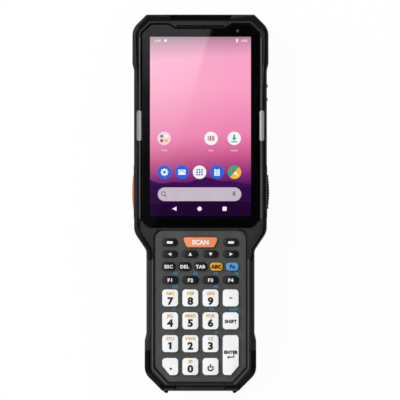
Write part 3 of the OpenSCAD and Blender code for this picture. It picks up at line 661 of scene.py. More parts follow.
def ribs(name, count, step, size, turn, material):
    """A row of rounded ribs from the origin along step, each turned about Z, in metres"""
    tree = Repeater(name, {
        "Count": ("NodeSocketInt", count), "Step": ("NodeSocketVector", step),
        "Size": ("NodeSocketVector", size), "Turn": ("NodeSocketVector", turn)})
    line = tree.node("GeometryNodeMeshLine", {
        "Count": tree.inputs["Count"], "Offset": tree.inputs["Step"]})
    block = tree.node("GeometryNodeMeshCube", {"Size": tree.inputs["Size"]},
                      {"Vertices X": 3, "Vertices Y": 3, "Vertices Z": 3})
    rounded = tree.node("GeometryNodeSubdivisionSurface", {"Mesh": block.outputs["Mesh"]},
                        {"Level": 1})
    row = tree.node("GeometryNodeInstanceOnPoints", {
        "Points": line.outputs["Mesh"], "Instance": rounded.outputs["Mesh"],
        "Rotation": tree.inputs["Turn"]})
    tree.finish(row.outputs["Instances"], material)
    return tree.mesh(name)


# ---------------------------------------------------------------- housing

FACES_UP = 0.9          # a flat that looks up has a normal with at least this much Z
PLATE_CORNER = 0.0031   # the plate's end is drawn shorter from its corners on, in metres
PLATE_SHORTER = 0.0005
STRIP_SLOPE = 0.08      # a strip's sides lean in by this much, in millimetres


class TERMINAL_OT_housing(bpy.types.Operator):
    """Finishes the two cases, the rubber, the keypad's plate and what lies inside"""
    bl_idname = "terminal.housing"
    bl_label = "Finish the housing"

    def execute(self, context):
        look = context.scene.terminal_housing
        # seal rubber: the port flap's and the gasket's own colour, and also painted shade on the
        # case's groove floors
        seal = rubber("seal skin", (0.0025, 0.0025, 0.0027), 0.6, 0.0004, 0.1)
        self.finish_cases(look, seal)
        self.finish_rubber(look)
        rounded_piece("usb_flap", "port_flap", seal, look.edge, "usb_flap")
        paint("case_gasket", seal)
        self.finish_inside(look)
        return {"FINISHED"}

    def finish_cases(self, look, seal):
        """Both cases with painted shade on their grooves' floors, the battery's cover and the
        keypad's plate
        """
        front = moulded("front moulding", look.front, 0.46, look.grain)
        rear = moulded("rear moulding", look.rear, 0.52, look.grain * 1.4, 0.00005)
        plate = moulded("keypad plate moulding", look.plate, 0.42, look.grain * 0.7, 0.00002)
        shell = rounded_piece("front_case", "front_shell", front, look.edge)
        plate_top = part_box("keypad_bezel")[1]
        groove_low, groove_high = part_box("display_window")[1].z - 0.0010, plate_top.z + 0.0001

        def in_groove(centre, normal):
            return normal.z > FACES_UP and groove_low < centre.z < groove_high

        # painted shade: the upward flats on the floors of the grooves round the window and the
        # plate take the near black seal rubber, and those below the plate's top a less dark groove
        # rubber, standing in for the shade in the grooves
        reskin(shell, seal, in_groove)
        reskin(shell, rubber("groove skin", (0.011, 0.011, 0.0112), 0.6, 0.0004, 0.15),
               lambda centre, normal: in_groove(centre, normal)
               and centre.y < plate_top.y + 0.001)
        rounded_piece("keypad_bezel", "keypad_plate", plate, look.edge * 0.6,
                      reshape=lambda mesh: drag_end(mesh, plate_top.y - PLATE_CORNER,
                                                    plate_top.y, -PLATE_SHORTER))
        rounded_piece("rear_case", "rear_shell", rear, 0.0)
        rounded_piece("battery_cover", "cover_shell", rear, look.edge,
                      "battery_cover")

    def finish_rubber(self, look):
        """Bumpers and grip strips, the painted shade on the floor of the head's dip, and the skin
        of the tail's lip
        """
        bumper = rubber("bumper skin", look.rubber, 0.42, sheen=0.22)
        tail = rubber("tail skin", [c * 0.6 for c in look.rubber], 0.6, sheen=0.08)
        grip = rubber("grip skin", look.grip, 0.52, 0.0005)
        made = {}
        # swelling: of the sides, of the ends, and how much more beside the side keys
        for node, name, skin, swelling in (
                ("head_bumper", "head_skin", bumper, (0.00022, 0.0, 0.0002)),
                ("tail_bumper", "tail_skin", tail, (0.00022, 0.00022)),
                ("grip_strips", "grip_skin", grip, (0.0002, 0.0))):
            made[node] = rounded_piece(node, name, skin, 0.0, domed=True,
                                       reshape=lambda mesh: swell(mesh, *swelling))

        head_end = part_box("head_bumper")[1]
        dip_top, dip_start = head_end.z - 0.0005, head_end.y - 0.004
        # painted shade: the flat floor of the head's dip takes a darker, duller rubber, standing
        # in for the shade in the dip
        reskin(made["head_bumper"], rubber("dip skin", (0.002, 0.002, 0.0021), 0.7, 0.0004, 0.03),
               lambda centre, normal: normal.z > FACES_UP and centre.z < dip_top
               and centre.y > dip_start)
        lip_reach, lip_start = 0.0141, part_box("tail_bumper")[0].y + 0.0045
        reskin(made["tail_bumper"],
               rubber("tail lip skin", (0.018, 0.018, 0.0185), 0.5, sheen=0.3),
               lambda centre, normal: normal.z > 0.3 and abs(centre.x) < lip_reach
               and centre.y < lip_start)

    def finish_inside(self, look):
        """What lies between the cases, and their screws and pin"""
        for finish, nodes in (
                (moulded("inner moulding", (0.02, 0.021, 0.023), 0.55, look.grain),
                 ("scan_engine", "loudspeaker", "tail_connector")),
                (board("solder mask", (0.012, 0.075, 0.035)), ("main_board", "keypad_board")),
                (rubber("mat silicone", (0.20, 0.21, 0.22), 0.5, 0.0008), ("keypad_mat",)),
                (metal("display frame metal", (0.5, 0.5, 0.52), 0.4), ("display_module",)),
                (moulded("battery case", (0.03, 0.033, 0.036), 0.5, look.grain),
                 ("battery_pack",)),
                (metal("gilt blades", (0.8, 0.55, 0.2), 0.28), ("battery_contacts",)),
                (metal("zinc steel", (0.48, 0.48, 0.49)), ("cover_hinge_pin", "case_screws"))):
            for node in nodes:
                paint(node, finish)


def raised_strip(bm, line, width, low, high):
    """Adds a strip with sloped sides along a line, between two heights, all in millimetres"""
    top = width / 2 - STRIP_SLOPE
    rows = []
    for i, point in enumerate(line):
        before = Vector(point) - Vector(line[i - 1]) if i else None
        after = Vector(line[i + 1]) - Vector(point) if i + 1 < len(line) else None
        along = [d.normalized() for d in (before, after) if d]
        across = sum((Vector((-d.y, d.x)) for d in along), Vector((0, 0))).normalized()
        across /= across.dot(Vector((-along[0].y, along[0].x)))
        rows.append([bm.verts.new(((point[0] + across.x * x) * MM,
                                   (point[1] + across.y * x) * MM, z * MM))
                     for x, z in ((width / 2, low), (top, high), (-top, high),
                                  (-width / 2, low))])
    for a, b in zip(rows, rows[1:]):
        for i in range(3):
            bm.faces.new((a[i], a[i + 1], b[i + 1], b[i]))
    for row, turn in ((rows[0], 1), (rows[-1], -1)):
        bm.faces.new(row[::-turn])


class TERMINAL_OT_rim_lines(bpy.types.Operator):
    """Lays low strips round the window and the plate, paler than the case as painted highlights,
    and the bar and the dark lip, which paints shade, at their ends
    """
    bl_idname = "terminal.rim_lines"
    bl_label = "Lay the rim lines"

    def execute(self, context):
        look = context.scene.terminal_housing
        # painted highlight: the strips beside the window and the plate are paler than the front
        # case, standing in for the light that the ridge catches
        bright = moulded("rim line", look.rim, 0.42, look.grain)
        window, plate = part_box("display_window"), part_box("keypad_bezel")
        case_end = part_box("front_case")[1]
        face, rim_end = case_end.z / MM, case_end.y / MM

        line_width, lip_width, bar_width = 0.95, 0.8, 1.0

        # beside the window, with a gap at each end of the light bars
        head_x, gap = window[1].x / MM + 1.5, 0.4
        head_low, head_high = -8.4, 92.0
        bar_low, bar_high = (corner.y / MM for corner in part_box("status_light_pipes"))
        self.lay("head_rim_line", [[(head_x, head_low), (head_x, bar_low - gap)],
                                   [(head_x, bar_high + gap), (head_x, head_high)]],
                 line_width, face + 0.55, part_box("head_bumper")[1].z / MM + 0.05, bright,
                 "front_plastic")

        # beside the plate, round its slanted corner and up to the head's rubber
        grip_x, plate_low = plate[1].x / MM + 1.45, plate[0].y / MM
        slant = [(grip_x - 7.9, plate_low - 1.5), (grip_x, plate_low + 7.25)]
        self.lay("grip_rim_line", [[*slant, (grip_x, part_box("head_bumper")[0].y / MM)]],
                 line_width, face - 0.1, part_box("grip_strips")[1].z / MM + 0.06, bright,
                 "front_plastic")

        # the rubber's lip over the case's rim at the scanner end, down round its corners; its dark
        # rubber paints shade over the band between the rubber and the ridge
        lip_y = rim_end - 0.38
        self.lay("head_lip", [[(0.0, lip_y), (28.6, lip_y), (32.6, rim_end - 4.35),
                               (33.3, rim_end - 5.2)]],
                 lip_width, face - 0.1, face + 0.2,
                 rubber("lip skin", look.rubber, 0.5, sheen=0.12), "bumper_rubber")

        # the case's bar between window and plate, round the window's lower corners
        corner_x, corner_y = window[1].x / MM - WINDOW_CORNER, window[0].y / MM + WINDOW_CORNER
        across, down, last_turn = 6.35, 6.3, 70
        corner = [(corner_x + across * math.sin(math.radians(turn)),
                   corner_y - down * math.cos(math.radians(turn)))
                  for turn in range(0, last_turn + 1, 10)]
        self.lay("waist_bar", [[(0.0, corner_y - down), *corner]],
                 bar_width, face - 1.1, face + 0.03,
                 moulded("waist bar moulding", look.front, 0.42, look.grain), "front_plastic")
        return {"FINISHED"}

    def lay(self, name, lines, width, low, high, material, slot):
        """Makes a strip along each line and its mirror image"""
        bm = bmesh.new()
        for line in lines:
            raised_strip(bm, line, width, low, high)
            raised_strip(bm, [(-x, y) for x, y in reversed(line)], width, low, high)
        bmesh.ops.recalc_face_normals(bm, faces=bm.faces)
        mesh = mesh_of(bm, name)
        dress(mesh, material)
        new_piece(name, mesh)


class TERMINAL_OT_light_bars(bpy.types.Operator):
    """Finishes the two frosted light bars beside the display, with painted shade in a crease and
    on their outer slopes
    """
    bl_idname = "terminal.light_bars"
    bl_label = "Finish the light bars"

    def execute(self, context):
        look = context.scene.terminal_housing
        frost = Finish("frosted light bar", look.light_bar, 0.34, IOR=1.5,
                       Subsurface_Weight=0.15, Subsurface_Scale=0.002)
        outer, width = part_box("status_light_pipes")[1].x, 0.0028
        side = frost.math("ABSOLUTE", frost.axes()["X"])
        across = frost.spread(side, 0.0, 1.0, outer - width, outer)
        # painted shade: towards the outer edge a darker line at the crease, then a darker outer
        # slope, standing in for the shade on the slope that turns away from the light
        painted_crease_shade, painted_slope_shade = ([c * dimming for c in look.light_bar] for dimming in (0.5, 0.62))
        frost.link(frost.ramp(across, [(0.0, look.light_bar), (0.44, look.light_bar),
                                       (0.52, painted_crease_shade), (0.62, painted_slope_shade), (1.0, painted_slope_shade)],
                              smooth=False),
                   frost.shader.inputs["Base Color"])
        frost.gloss(frost.noise(0.004), 0.28, 0.42)
        frost.relief(frost.noise(0.0005, 2.0), 0.00002)
        rounded_piece("status_light_pipes", "light_bars", frost.material, 0.0006,
                      segments=4)
        return {"FINISHED"}


# ---------------------------------------------------------------- display

PANEL_EDGE = 1.0    # the display module's unlit edge, in millimetres


def over_window(layers):
    """Height of a layer of print over the display window, in millimetres"""
    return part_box("display_window")[1].z / MM + PICTURE_LIFT + layers * LAYER


def lit_area():
    """Left, right, bottom and top of the lit area, in millimetres"""
    low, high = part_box("display_module")
    return (low.x / MM + PANEL_EDGE, high.x / MM - PANEL_EDGE,
            low.y / MM + PANEL_EDGE, high.y / MM - PANEL_EDGE)


def sky_finish(look, bottom, top):
    """Evening sky: a run of colours from the dunes up, with a painted glare that pales its upper
    left
    """
    made = Finish("evening sky", (0.0, 0.0, 0.0), 0.015, IOR=1.9, Specular_IOR_Level=0.6)
    place, tilt = made.axes(), -0.06
    height = made.spread(made.math("MULTIPLY_ADD", place["X"], tilt, place["Y"]),
                         0.0, 1.0, bottom * MM, top * MM)
    sky = made.ramp(height, [(0.14, look.dune), (0.22, look.dusk), (0.32, look.low),
                             (0.44, look.middle), (0.72, look.high), (0.88, look.veil),
                             (0.955, look.haze), (1.0, look.mist)], smooth=False)
    # painted glare: the sky is screened paler towards its upper left, standing in for the
    # reflection on the window
    painted_glare = made.node("ShaderNodeMix", data_type="RGBA", blend_type="SCREEN")
    painted_glare.inputs["B"].default_value = (*look.painted_glare, 1.0)
    leftward = made.spread(place["X"], 0.9, 0.0, -0.028, 0.018)
    upward = made.spread(place["Y"], 0.0, 1.0, 0.012, 0.060)
    made.link(made.math("MULTIPLY", leftward, upward), painted_glare.inputs["Factor"])
    made.link(sky, painted_glare.inputs["A"])
    made.link(painted_glare.outputs["Result"], made.shader.inputs["Emission Color"])
    made.shader.inputs["Emission Strength"].default_value = look.glow
    return made.relief(made.noise(0.03, 1.0), 0.000002).material


DUNES = (
    # height of the ridge, its waves as (height, length, shift), and its share of colour
    (12.6, ((1.3, 40.0, 6.0), (0.6, 17.0, 2.0)), 1.5),
    (9.0, ((1.6, 52.0, 30.0), (0.5, 21.0, 9.0)), 1.0),
    (1.2, ((1.8, 66.0, 12.0), (0.6, 26.0, 3.0)), 0.55),
)
CREST_STEPS = 48    # straights along a ridge


class TERMINAL_OT_picture(bpy.types.Operator):
    """Makes the window's gloss and the picture behind it: an evening sky over dunes"""
    bl_idname = "terminal.picture"
    bl_label = "Light the display"

    def execute(self, context):
        look = context.scene.terminal_screen
        glass = window_glass("window glass", (0.0015, 0.0018, 0.002))
        edge, shorter = 0.00012, 0.00025
        window_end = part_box("display_window")[0].y
        rounded_piece("display_window", "window_pane", glass, edge, segments=3,
                      reshape=lambda mesh: drag_end(mesh, window_end + WINDOW_CORNER * MM,
                                                    window_end, shorter))
        left, right, bottom, top = lit_area()
        sheet = Sheet()
        sheet.polygon([(left, bottom), (right, bottom), (right, top), (left, top)],
                      over_window(0), sky_finish(look, bottom, top))
        for depth, (ridge, waves, tone) in enumerate(DUNES, 1):
            tint = [min(c * tone, 1.0) for c in look.dune]
            crest = []
            for i in range(CREST_STEPS + 1):
                x = left + (right - left) * i / CREST_STEPS
                y = ridge + sum(h * math.sin(2 * math.pi * (x + s) / l) for h, l, s in waves)
                crest.append((x, y))
            sheet.polygon([(right, bottom), *reversed(crest), (left, bottom)],
                          over_window(depth), lit(f"dune {depth}", tint, look.glow))
        new_piece("display_picture", sheet.mesh("display_picture"))
        return {"FINISHED"}


# Places and sizes on the lit picture, in millimetres
ICON_R = 3.72
MIDDLE_X = -0.5
ROW_X = (-20.2, 5.9, 18.75)
ROW_Y = 36.2
LABEL_Y = 29.6
DOCK_X = (-20.0, -10.3, MIDDLE_X, 9.2, 18.9)
DOCK_Y = 17.4
SEARCH_Y = 5.16
LENS_X, SPEECH_X = -20.6, 18.7
BUTTON_X = (-14.5, MIDDLE_X, 13.4)
BUTTON_Y = -2.9


def gear(sheet, x, y, z, radius, material, hole):
    """Gear wheel with a hole in its middle"""
    teeth, root, bore = 8, 0.76, 0.36
    points = []
    for i in range(4 * teeth):
        reach = radius if i % 4 < 2 else radius * root
        angle = 2 * math.pi * i / (4 * teeth)
        points.append((x + reach * math.cos(angle), y + reach * math.sin(angle)))
    sheet.polygon(points, z, material)
    sheet.disc(x, y, radius * bore, z + LAYER, hole)


def barcode(sheet, x, y, z, width, height, material):
    """Upright stripes of a few widths"""
    stripes = (0.10, 0.05, 0.16, 0.05, 0.10, 0.14)
    gap = (1.0 - sum(stripes)) / (len(stripes) - 1)
    place = -0.5
    for stripe in stripes:
        sheet.bar(x + (place + stripe / 2) * width, y, stripe * width, height, 0.02, z, material)
        place += stripe + gap


def envelope(sheet, x, y, z, width, height, paper, line):
    """Envelope whose flap is two slanted lines"""
    sheet.bar(x, y, width, height, 0.35, z, paper)
    for side in (-1, 1):
        sheet.bar(x + side * width * 0.235, y + height * 0.12, width * 0.56, 0.34, 0.1,
                  z + LAYER, line, turn=-side * 33)


def number_pad(sheet, x, y, z, pitch, material):
    """Three rows of three squares"""
    side = pitch * 0.66
    for row in (-1, 0, 1):
        for column in (-1, 0, 1):
            sheet.bar(x + column * pitch, y + row * pitch, side, side, 0.12, z, material)


def clipboard(sheet, x, y, z, paper, line):
    """Sheet with a clip and three lines of writing"""
    sheet.bar(x, y - 0.1, 3.0, 3.8, 0.35, z, paper)
    sheet.bar(x, y + 1.75, 1.4, 0.75, 0.2, z + LAYER, line)
    for row in (0.6, -0.3, -1.2):
        sheet.bar(x, y + row, 1.9, 0.32, 0.1, z + LAYER, line)


class TERMINAL_OT_symbols(bpy.types.Operator):
    """Makes the status line, the icons, the search bar and the three soft buttons"""
    bl_idname = "terminal.symbols"
    bl_label = "Place the display's symbols"

    def execute(self, context):
        glow = context.scene.terminal_screen.glow
        white = lit("lit white", (0.95, 0.93, 0.96), glow)
        soft = lit("lit soft white", (0.93, 0.70, 0.80), glow)
        pill = lit("lit search bar", (0.58, 0.50, 0.58), glow)
        grey = lit("lit grey", (0.16, 0.13, 0.18), glow)
        blue = lit("lit blue", (0.012, 0.15, 0.75), glow)
        deep = lit("lit deep blue", (0.02, 0.10, 0.50), glow)
        green = lit("lit green", (0.03, 0.42, 0.22), glow)
        maroon = lit("lit maroon", (0.30, 0.02, 0.03), glow)
        amber = lit("lit amber", (0.95, 0.50, 0.03), glow)
        rose = lit("lit rose", (0.75, 0.05, 0.08), glow)
        left, right, _, top = lit_area()
        z, up = over_window(len(DUNES) + 1), over_window(len(DUNES) + 2)
        sheet = Sheet()

        # status line: clock, message dot, battery and its charge
        small, line_y = 1.25, top - 2.1
        sheet.text("10:08", left + 4.0, line_y, small, z, white, 0.01)
        sheet.disc(left + 8.6, line_y, 0.75, z, white)
        sheet.bar(right - 7.6, top - 2.2, 1.0, 1.8, 0.2, z, white)
        sheet.bar(right - 7.6, top - 1.25, 0.5, 0.4, 0.1, z, white)
        sheet.text("100%", right - 3.7, line_y, small, z, white, 0.01)

        # first row: a folder of four dots, the scanner's stripes and the loader's arrow
        folder, scanner, loader = ROW_X
        for x, ground in zip(ROW_X, (soft, white, white)):
            sheet.disc(x, ROW_Y, ICON_R, z, ground)
        for dx, dy, tint in ((-1.3, 1.2, green), (1.3, 1.2, white), (-1.3, -1.3, rose),
                             (1.3, -1.3, amber)):
            sheet.disc(folder + dx, ROW_Y + dy, 0.95, up, tint)
        barcode(sheet, scanner, ROW_Y, up, 3.6, 2.8, maroon)
        sheet.polygon([(loader - 1.45, ROW_Y + 0.4), (loader, ROW_Y - 1.3),
                       (loader + 1.45, ROW_Y + 0.4)], up, green)
        sheet.bar(loader, ROW_Y + 1.2, 1.0, 1.9, 0.1, up, green)
        sheet.bar(loader, ROW_Y - 1.9, 3.6, 0.6, 0.2, up, green)
        for x, label in zip(ROW_X, ("Tools", "Scan", "Loader")):
            sheet.text(label, x, LABEL_Y, 1.05, z, white)

        # dock: settings, mail, numbers, lists and compass
        for x, ground in zip(DOCK_X, (blue, blue, white, blue, green)):
            sheet.disc(x, DOCK_Y, ICON_R, z, ground)
        gear(sheet, DOCK_X[0], DOCK_Y, up, 2.2, white, blue)
        envelope(sheet, DOCK_X[1], DOCK_Y, up, 4.2, 2.9, white, blue)
        number_pad(sheet, DOCK_X[2], DOCK_Y, up, 1.35, deep)
        clipboard(sheet, DOCK_X[3], DOCK_Y, up, white, blue)
        sheet.arc(DOCK_X[4], DOCK_Y, 0.1, ICON_R, -130, 50, up, amber)
        for tint, turn in ((rose, 0.0), (white, math.pi)):
            sheet.polygon([(DOCK_X[4] + r * math.cos(a + turn), DOCK_Y + r * math.sin(a + turn))
                           for r, a in ((2.9, 2.36), (0.9, 0.79), (0.9, -2.36))],
                          up + LAYER, tint)

        # search bar with its lens and a speech mark
        sheet.bar(MIDDLE_X, SEARCH_Y, 46.5, 7.6, 3.79, z, pill)
        sheet.arc(LENS_X, SEARCH_Y + 0.34, 0.85, 1.25, 0, 360, up, grey)
        sheet.bar(LENS_X + 1.1, SEARCH_Y - 0.96, 1.7, 0.42, 0.1, up, grey, turn=-45)
        sheet.bar(SPEECH_X, SEARCH_Y + 0.64, 0.9, 2.0, 0.45, up, grey)
        sheet.arc(SPEECH_X, SEARCH_Y + 0.44, 0.85, 1.15, 180, 360, up, grey)
        sheet.bar(SPEECH_X, SEARCH_Y - 1.06, 0.3, 0.9, 0.1, up, grey)

        # soft buttons
        back, home, recent = BUTTON_X
        half = 1.2
        sheet.polygon([(back + half, BUTTON_Y + half), (back - half, BUTTON_Y),
                       (back + half, BUTTON_Y - half)], z, white)
        sheet.disc(home, BUTTON_Y, half, z, white)
        sheet.bar(recent, BUTTON_Y, 2.3, 2.3, 0.3, z, white)
        new_piece("display_symbols", sheet.mesh("display_symbols"))
        return {"FINISHED"}


class TERMINAL_OT_earpiece(bpy.types.Operator):
    """Makes the earpiece's mesh and the camera behind the window"""
    bl_idname = "terminal.earpiece"
    bl_label = "Fit the earpiece and front camera"

    def execute(self, context):
        look = context.scene.terminal_fittings
        paint("earpiece", moulded("earpiece bar", (0.004, 0.004, 0.0045), 0.5, 0.0004,
                                  Specular_IOR_Level=0.1))
        width, height, inset = 0.024, 0.0009, 0.0007
        # painted shade: the mesh's holes are near black discs laid on the bar, standing in for the
        # shade inside them
        holes = perforations("earpiece_holes", width, height, look.mesh_pitch, look.mesh_hole,
                             ink("mesh hole", (0.002, 0.002, 0.002), 0.8))
        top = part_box("earpiece")[1]
        holes.transform(Matrix.Translation((0.0, top.y - inset, top.z + PICTURE_LIFT * MM)))
        new_piece("earpiece_holes", holes)

        paint("front_camera", moulded("camera barrel", (0.006, 0.006, 0.007), 0.4, 0.0004))
        x, y, _ = (place / MM for place in middle_of("front_camera"))
        sheet = Sheet()
        for layers, (radius, finish) in enumerate((
                (0.95, ink("camera ring", (0.012, 0.012, 0.013), 0.3)),
                (0.72, ink("camera lens", (0.065, 0.066, 0.068), 0.2)),
                (0.22, window_glass("camera pupil", (0.01, 0.01, 0.02))))):
            sheet.disc(x, y, radius, over_window(layers), finish)
        new_piece("camera_window", sheet.mesh("camera_window"))
        return {"FINISHED"}


# ---------------------------------------------------------------- keys

WHITE_KEYS = ("key_7", "key_8", "key_9", "key_minus", "key_4", "key_5", "key_6", "key_shift",
              "key_1", "key_2", "key_3", "key_enter", "key_period", "key_0", "key_power")
COLOURED_KEYS = {"key_scan": "orange", "key_alpha": "yellow", "key_fn": "blue"}
LETTERS = {"key_7": "ABC", "key_8": "DEF", "key_9": "GHI", "key_4": "JKL", "key_5": "MNO",
           "key_6": "PQR", "key_1": "STU", "key_2": "VWX", "key_3": "YZ", "key_0": "SP"}
WORDS = {"key_esc": "ESC", "key_delete": "DEL", "key_tab": "TAB", "key_f1": "F1",
         "key_f2": "F2", "key_f3": "F3", "key_f4": "F4"}
ARROWS = {"key_left": 180.0, "key_up": 90.0, "key_down": 270.0, "key_right": 0.0}
# In millimetres: radius of a cap's crown by its colour, and the print's height over it
CROWNS = {"white": 30.0, "orange": 70.0, "black": 24.0, "yellow": 24.0, "blue": 24.0}
PRINT_LIFT = 0.05


def key_nodes():
    """All keys of the keypad"""
    return [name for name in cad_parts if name.startswith("key_")]


def cap_colour(node):
    """Colour of a key's cap"""
    if node in COLOURED_KEYS:
        return COLOURED_KEYS[node]
    return "white" if node in WHITE_KEYS else "black"


class TERMINAL_OT_caps(bpy.types.Operator):
    """Rounds and finishes the caps of all the keys"""
    bl_idname = "terminal.caps"
    bl_label = "Finish the key caps"

    def execute(self, context):
        look = context.scene.terminal_keypad
        caps = {}
        for tint, roughness in (("white", 0.38), ("black", 0.42), ("orange", 0.36),
                                ("yellow", 0.36), ("blue", 0.34)):
            caps[tint] = moulded(f"{tint} cap", getattr(look, tint), roughness, 0.0006,
                                 0.000012, 0.03)
        for node in key_nodes():
            tint = cap_colour(node)
            rounded_piece(node, node.replace("key_", "cap_"), caps[tint], look.cap_edge,
                          node, segments=3)
        # the side keys, with how far out their middle and their ends go
        for node, tint, bulge in (("left_scan_key", "orange", (0.00022, 0.00045)),
                                  ("right_scan_key", "black", (0.0005, 0.0007)),
                                  ("volume_rocker", "black", (0.0, 0.0))):
            rounded_piece(node, node + "_cap", caps[tint], look.cap_edge, node,
                          reshape=lambda mesh: flatten_bulge(mesh, *bulge))
        return {"FINISHED"}


def crown_of(node):
    """Height of a cap's crowned top over an x, in millimetres"""
    middle, radius = middle_of(node)[0] / MM, CROWNS[cap_colour(node)]
    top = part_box(node)[1].z / MM
    return lambda x: top - radius + math.sqrt(radius ** 2 - (x - middle) ** 2)


# Words on a cap: their place above its middle, height, ink, weight and spacing
CAP_WORDS = {"key_scan": ("SCAN", 0.1, 2.6, "white", 0.045, 1.0),
             "key_alpha": ("ABC", 0.0, 2.0, "maroon", 0.075, 1.08),
             "key_fn": ("Fn", 0.0, 2.1, "navy", 0.065, 1.15),
             "key_shift": ("SHIFT", -0.3, 1.75, "black", 0.065, 1.1),
             "key_enter": ("ENTER", 1.65, 1.75, "black", 0.065, 1.06)}
ARROW = ((1.0, 0.0), (-0.8, 0.95), (-0.8, -0.95))
DIGIT_ONE = ((0.19, -0.5), (0.19, 0.5), (-0.04, 0.5), (-0.32, 0.34), (-0.32, 0.13),
             (-0.12, 0.25), (-0.12, -0.5))    # shares of its height


def print_digit(sheet, digit, letters, x, y, look, inks):
    """A digit in the lower part of its cap and its letters above it"""
    drop, rise = (1.6, 2.6) if digit in "789" else (1.1, 2.85)
    tall = look.digit_height / MM
    if digit == "1":
        sheet.polygon([(x + px * tall, y - drop + py * tall) for px, py in DIGIT_ONE],
                      PRINT_LIFT, inks["black"])
    else:
        sheet.text(digit, x, y - drop, tall, PRINT_LIFT, inks["black"], 0.05, 1.1)
    sheet.text(letters, x, y + rise, look.letter_height / MM, PRINT_LIFT, inks["amber"], 0.045)


def print_arrow(sheet, turn, x, y, white):
    """A triangle that points by degrees from the right"""
    c, s = math.cos(math.radians(turn)), math.sin(math.radians(turn))
    sheet.polygon([(x + px * c - py * s, y + px * s + py * c) for px, py in ARROW],
                  PRINT_LIFT, white)


def print_sign(sheet, node, x, y, black):
    """Minus, period, power ring or the bent arrow, on the key that has it"""
    if node == "key_minus":
        sheet.bar(x, y, 1.9, 0.6, 0.1, PRINT_LIFT, black)
    elif node == "key_period":
        sheet.disc(x + 0.35, y - 1.2, 0.64, PRINT_LIFT, black)
    elif node == "key_power":
        sheet.arc(x, y - 0.9, 1.0, 1.75, 125, 415, PRINT_LIFT, black)
        sheet.bar(x, y + 0.3, 0.75, 2.1, 0.2, PRINT_LIFT, black)
    elif node == "key_enter":
        sheet.bar(x + 0.3, y - 1.1, 3.2, 0.6, 0.1, PRINT_LIFT, black)
        sheet.bar(x + 1.7, y - 0.5, 0.6, 1.6, 0.1, PRINT_LIFT, black)
        sheet.polygon([(x - 2.2, y - 1.1), (x - 0.8, y - 0.25), (x - 0.8, y - 1.95)],
                      PRINT_LIFT, black)


class TERMINAL_OT_legends(bpy.types.Operator):
    """Prints the digits, letters, words and signs on the caps"""
    bl_idname = "terminal.legends"
    bl_label = "Print the caps"

    def execute(self, context):
        look = context.scene.terminal_keypad
        inks = {tint: ink(f"{tint} ink", shade) for tint, shade in (
            ("black", (0.008, 0.008, 0.009)), ("white", (0.85, 0.85, 0.86)),
            ("amber", (0.72, 0.44, 0.12)), ("maroon", (0.05, 0.004, 0.003)),
            ("navy", (0.003, 0.04, 0.25)))}
        for node in key_nodes():
            x, y, _ = (place / MM for place in middle_of(node))
            sheet = Sheet()
            if node in LETTERS:
                print_digit(sheet, node[-1], LETTERS[node], x, y, look, inks)
            elif node in WORDS:
                short = len(WORDS[node]) == 2
                sheet.text(WORDS[node], x, y, look.word_height / MM, PRINT_LIFT, inks["white"],
                           0.04, 1.12 if short else 1.0, 1.12)
            elif node in ARROWS:
                print_arrow(sheet, ARROWS[node], x, y, inks["white"])
            elif node.startswith("key_soft"):
                sheet.bar(x, y, 3.3, 1.35, 0.4, PRINT_LIFT, inks["white"])
            else:
                if node in CAP_WORDS:
                    words, rise, height, tint, weight, spacing = CAP_WORDS[node]
                    sheet.text(words, x, y + rise, height, PRINT_LIFT, inks[tint], weight,
                               spacing=spacing)
                print_sign(sheet, node, x, y, inks["black"])
            name = node.replace("key_", "print_")
            new_piece(name, sheet.mesh(name, crown_of(node)), body=node)
        return {"FINISHED"}


PLATE_SIGNS = (
    # second functions on the plate: words, and their middle's x and y in millimetres
    ("F5", -14.0, -38.85), ("F6", -2.75, -38.85), ("F7", 8.55, -38.85), ("F8", 20.0, -38.85),
    ("INS", -14.0, -46.1), ("PG", 8.55, -46.1), ("*", 20.5, -46.1),
    ("+/", -14.9, -58.75), ("PG", 6.05, -58.75), ("CAPS", 18.5, -58.75), ("#", 8.85, -71.45),
)


class TERMINAL_OT_plate_print(bpy.types.Operator):
    """Prints the small blue second functions on the keypad's plate"""
    bl_idname = "terminal.plate_print"
    bl_label = "Print the keypad's plate"

    def execute(self, context):
        sky = ink("blue print", (0.03, 0.22, 0.36))
        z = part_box("keypad_bezel")[1].z / MM + PICTURE_LIFT
        sheet = Sheet()
        for sign, x, y in PLATE_SIGNS:
            sheet.text(sign, x, y, 1.5, z, sky, 0.045)
        new_piece("plate_print", sheet.mesh("plate_print"))
        return {"FINISHED"}


# ---------------------------------------------------------------- back, nose and tail

class TERMINAL_OT_scanner(bpy.types.Operator):
    """Finishes the red scan window in the nose"""
    bl_idname = "terminal.scanner"
    bl_label = "Finish the scan window"

    def execute(self, context):
        red = window_glass("scan filter", (0.05, 0.003, 0.004))
        rounded_piece("scan_window", "scan_filter", red, 0.0002)
        return {"FINISHED"}


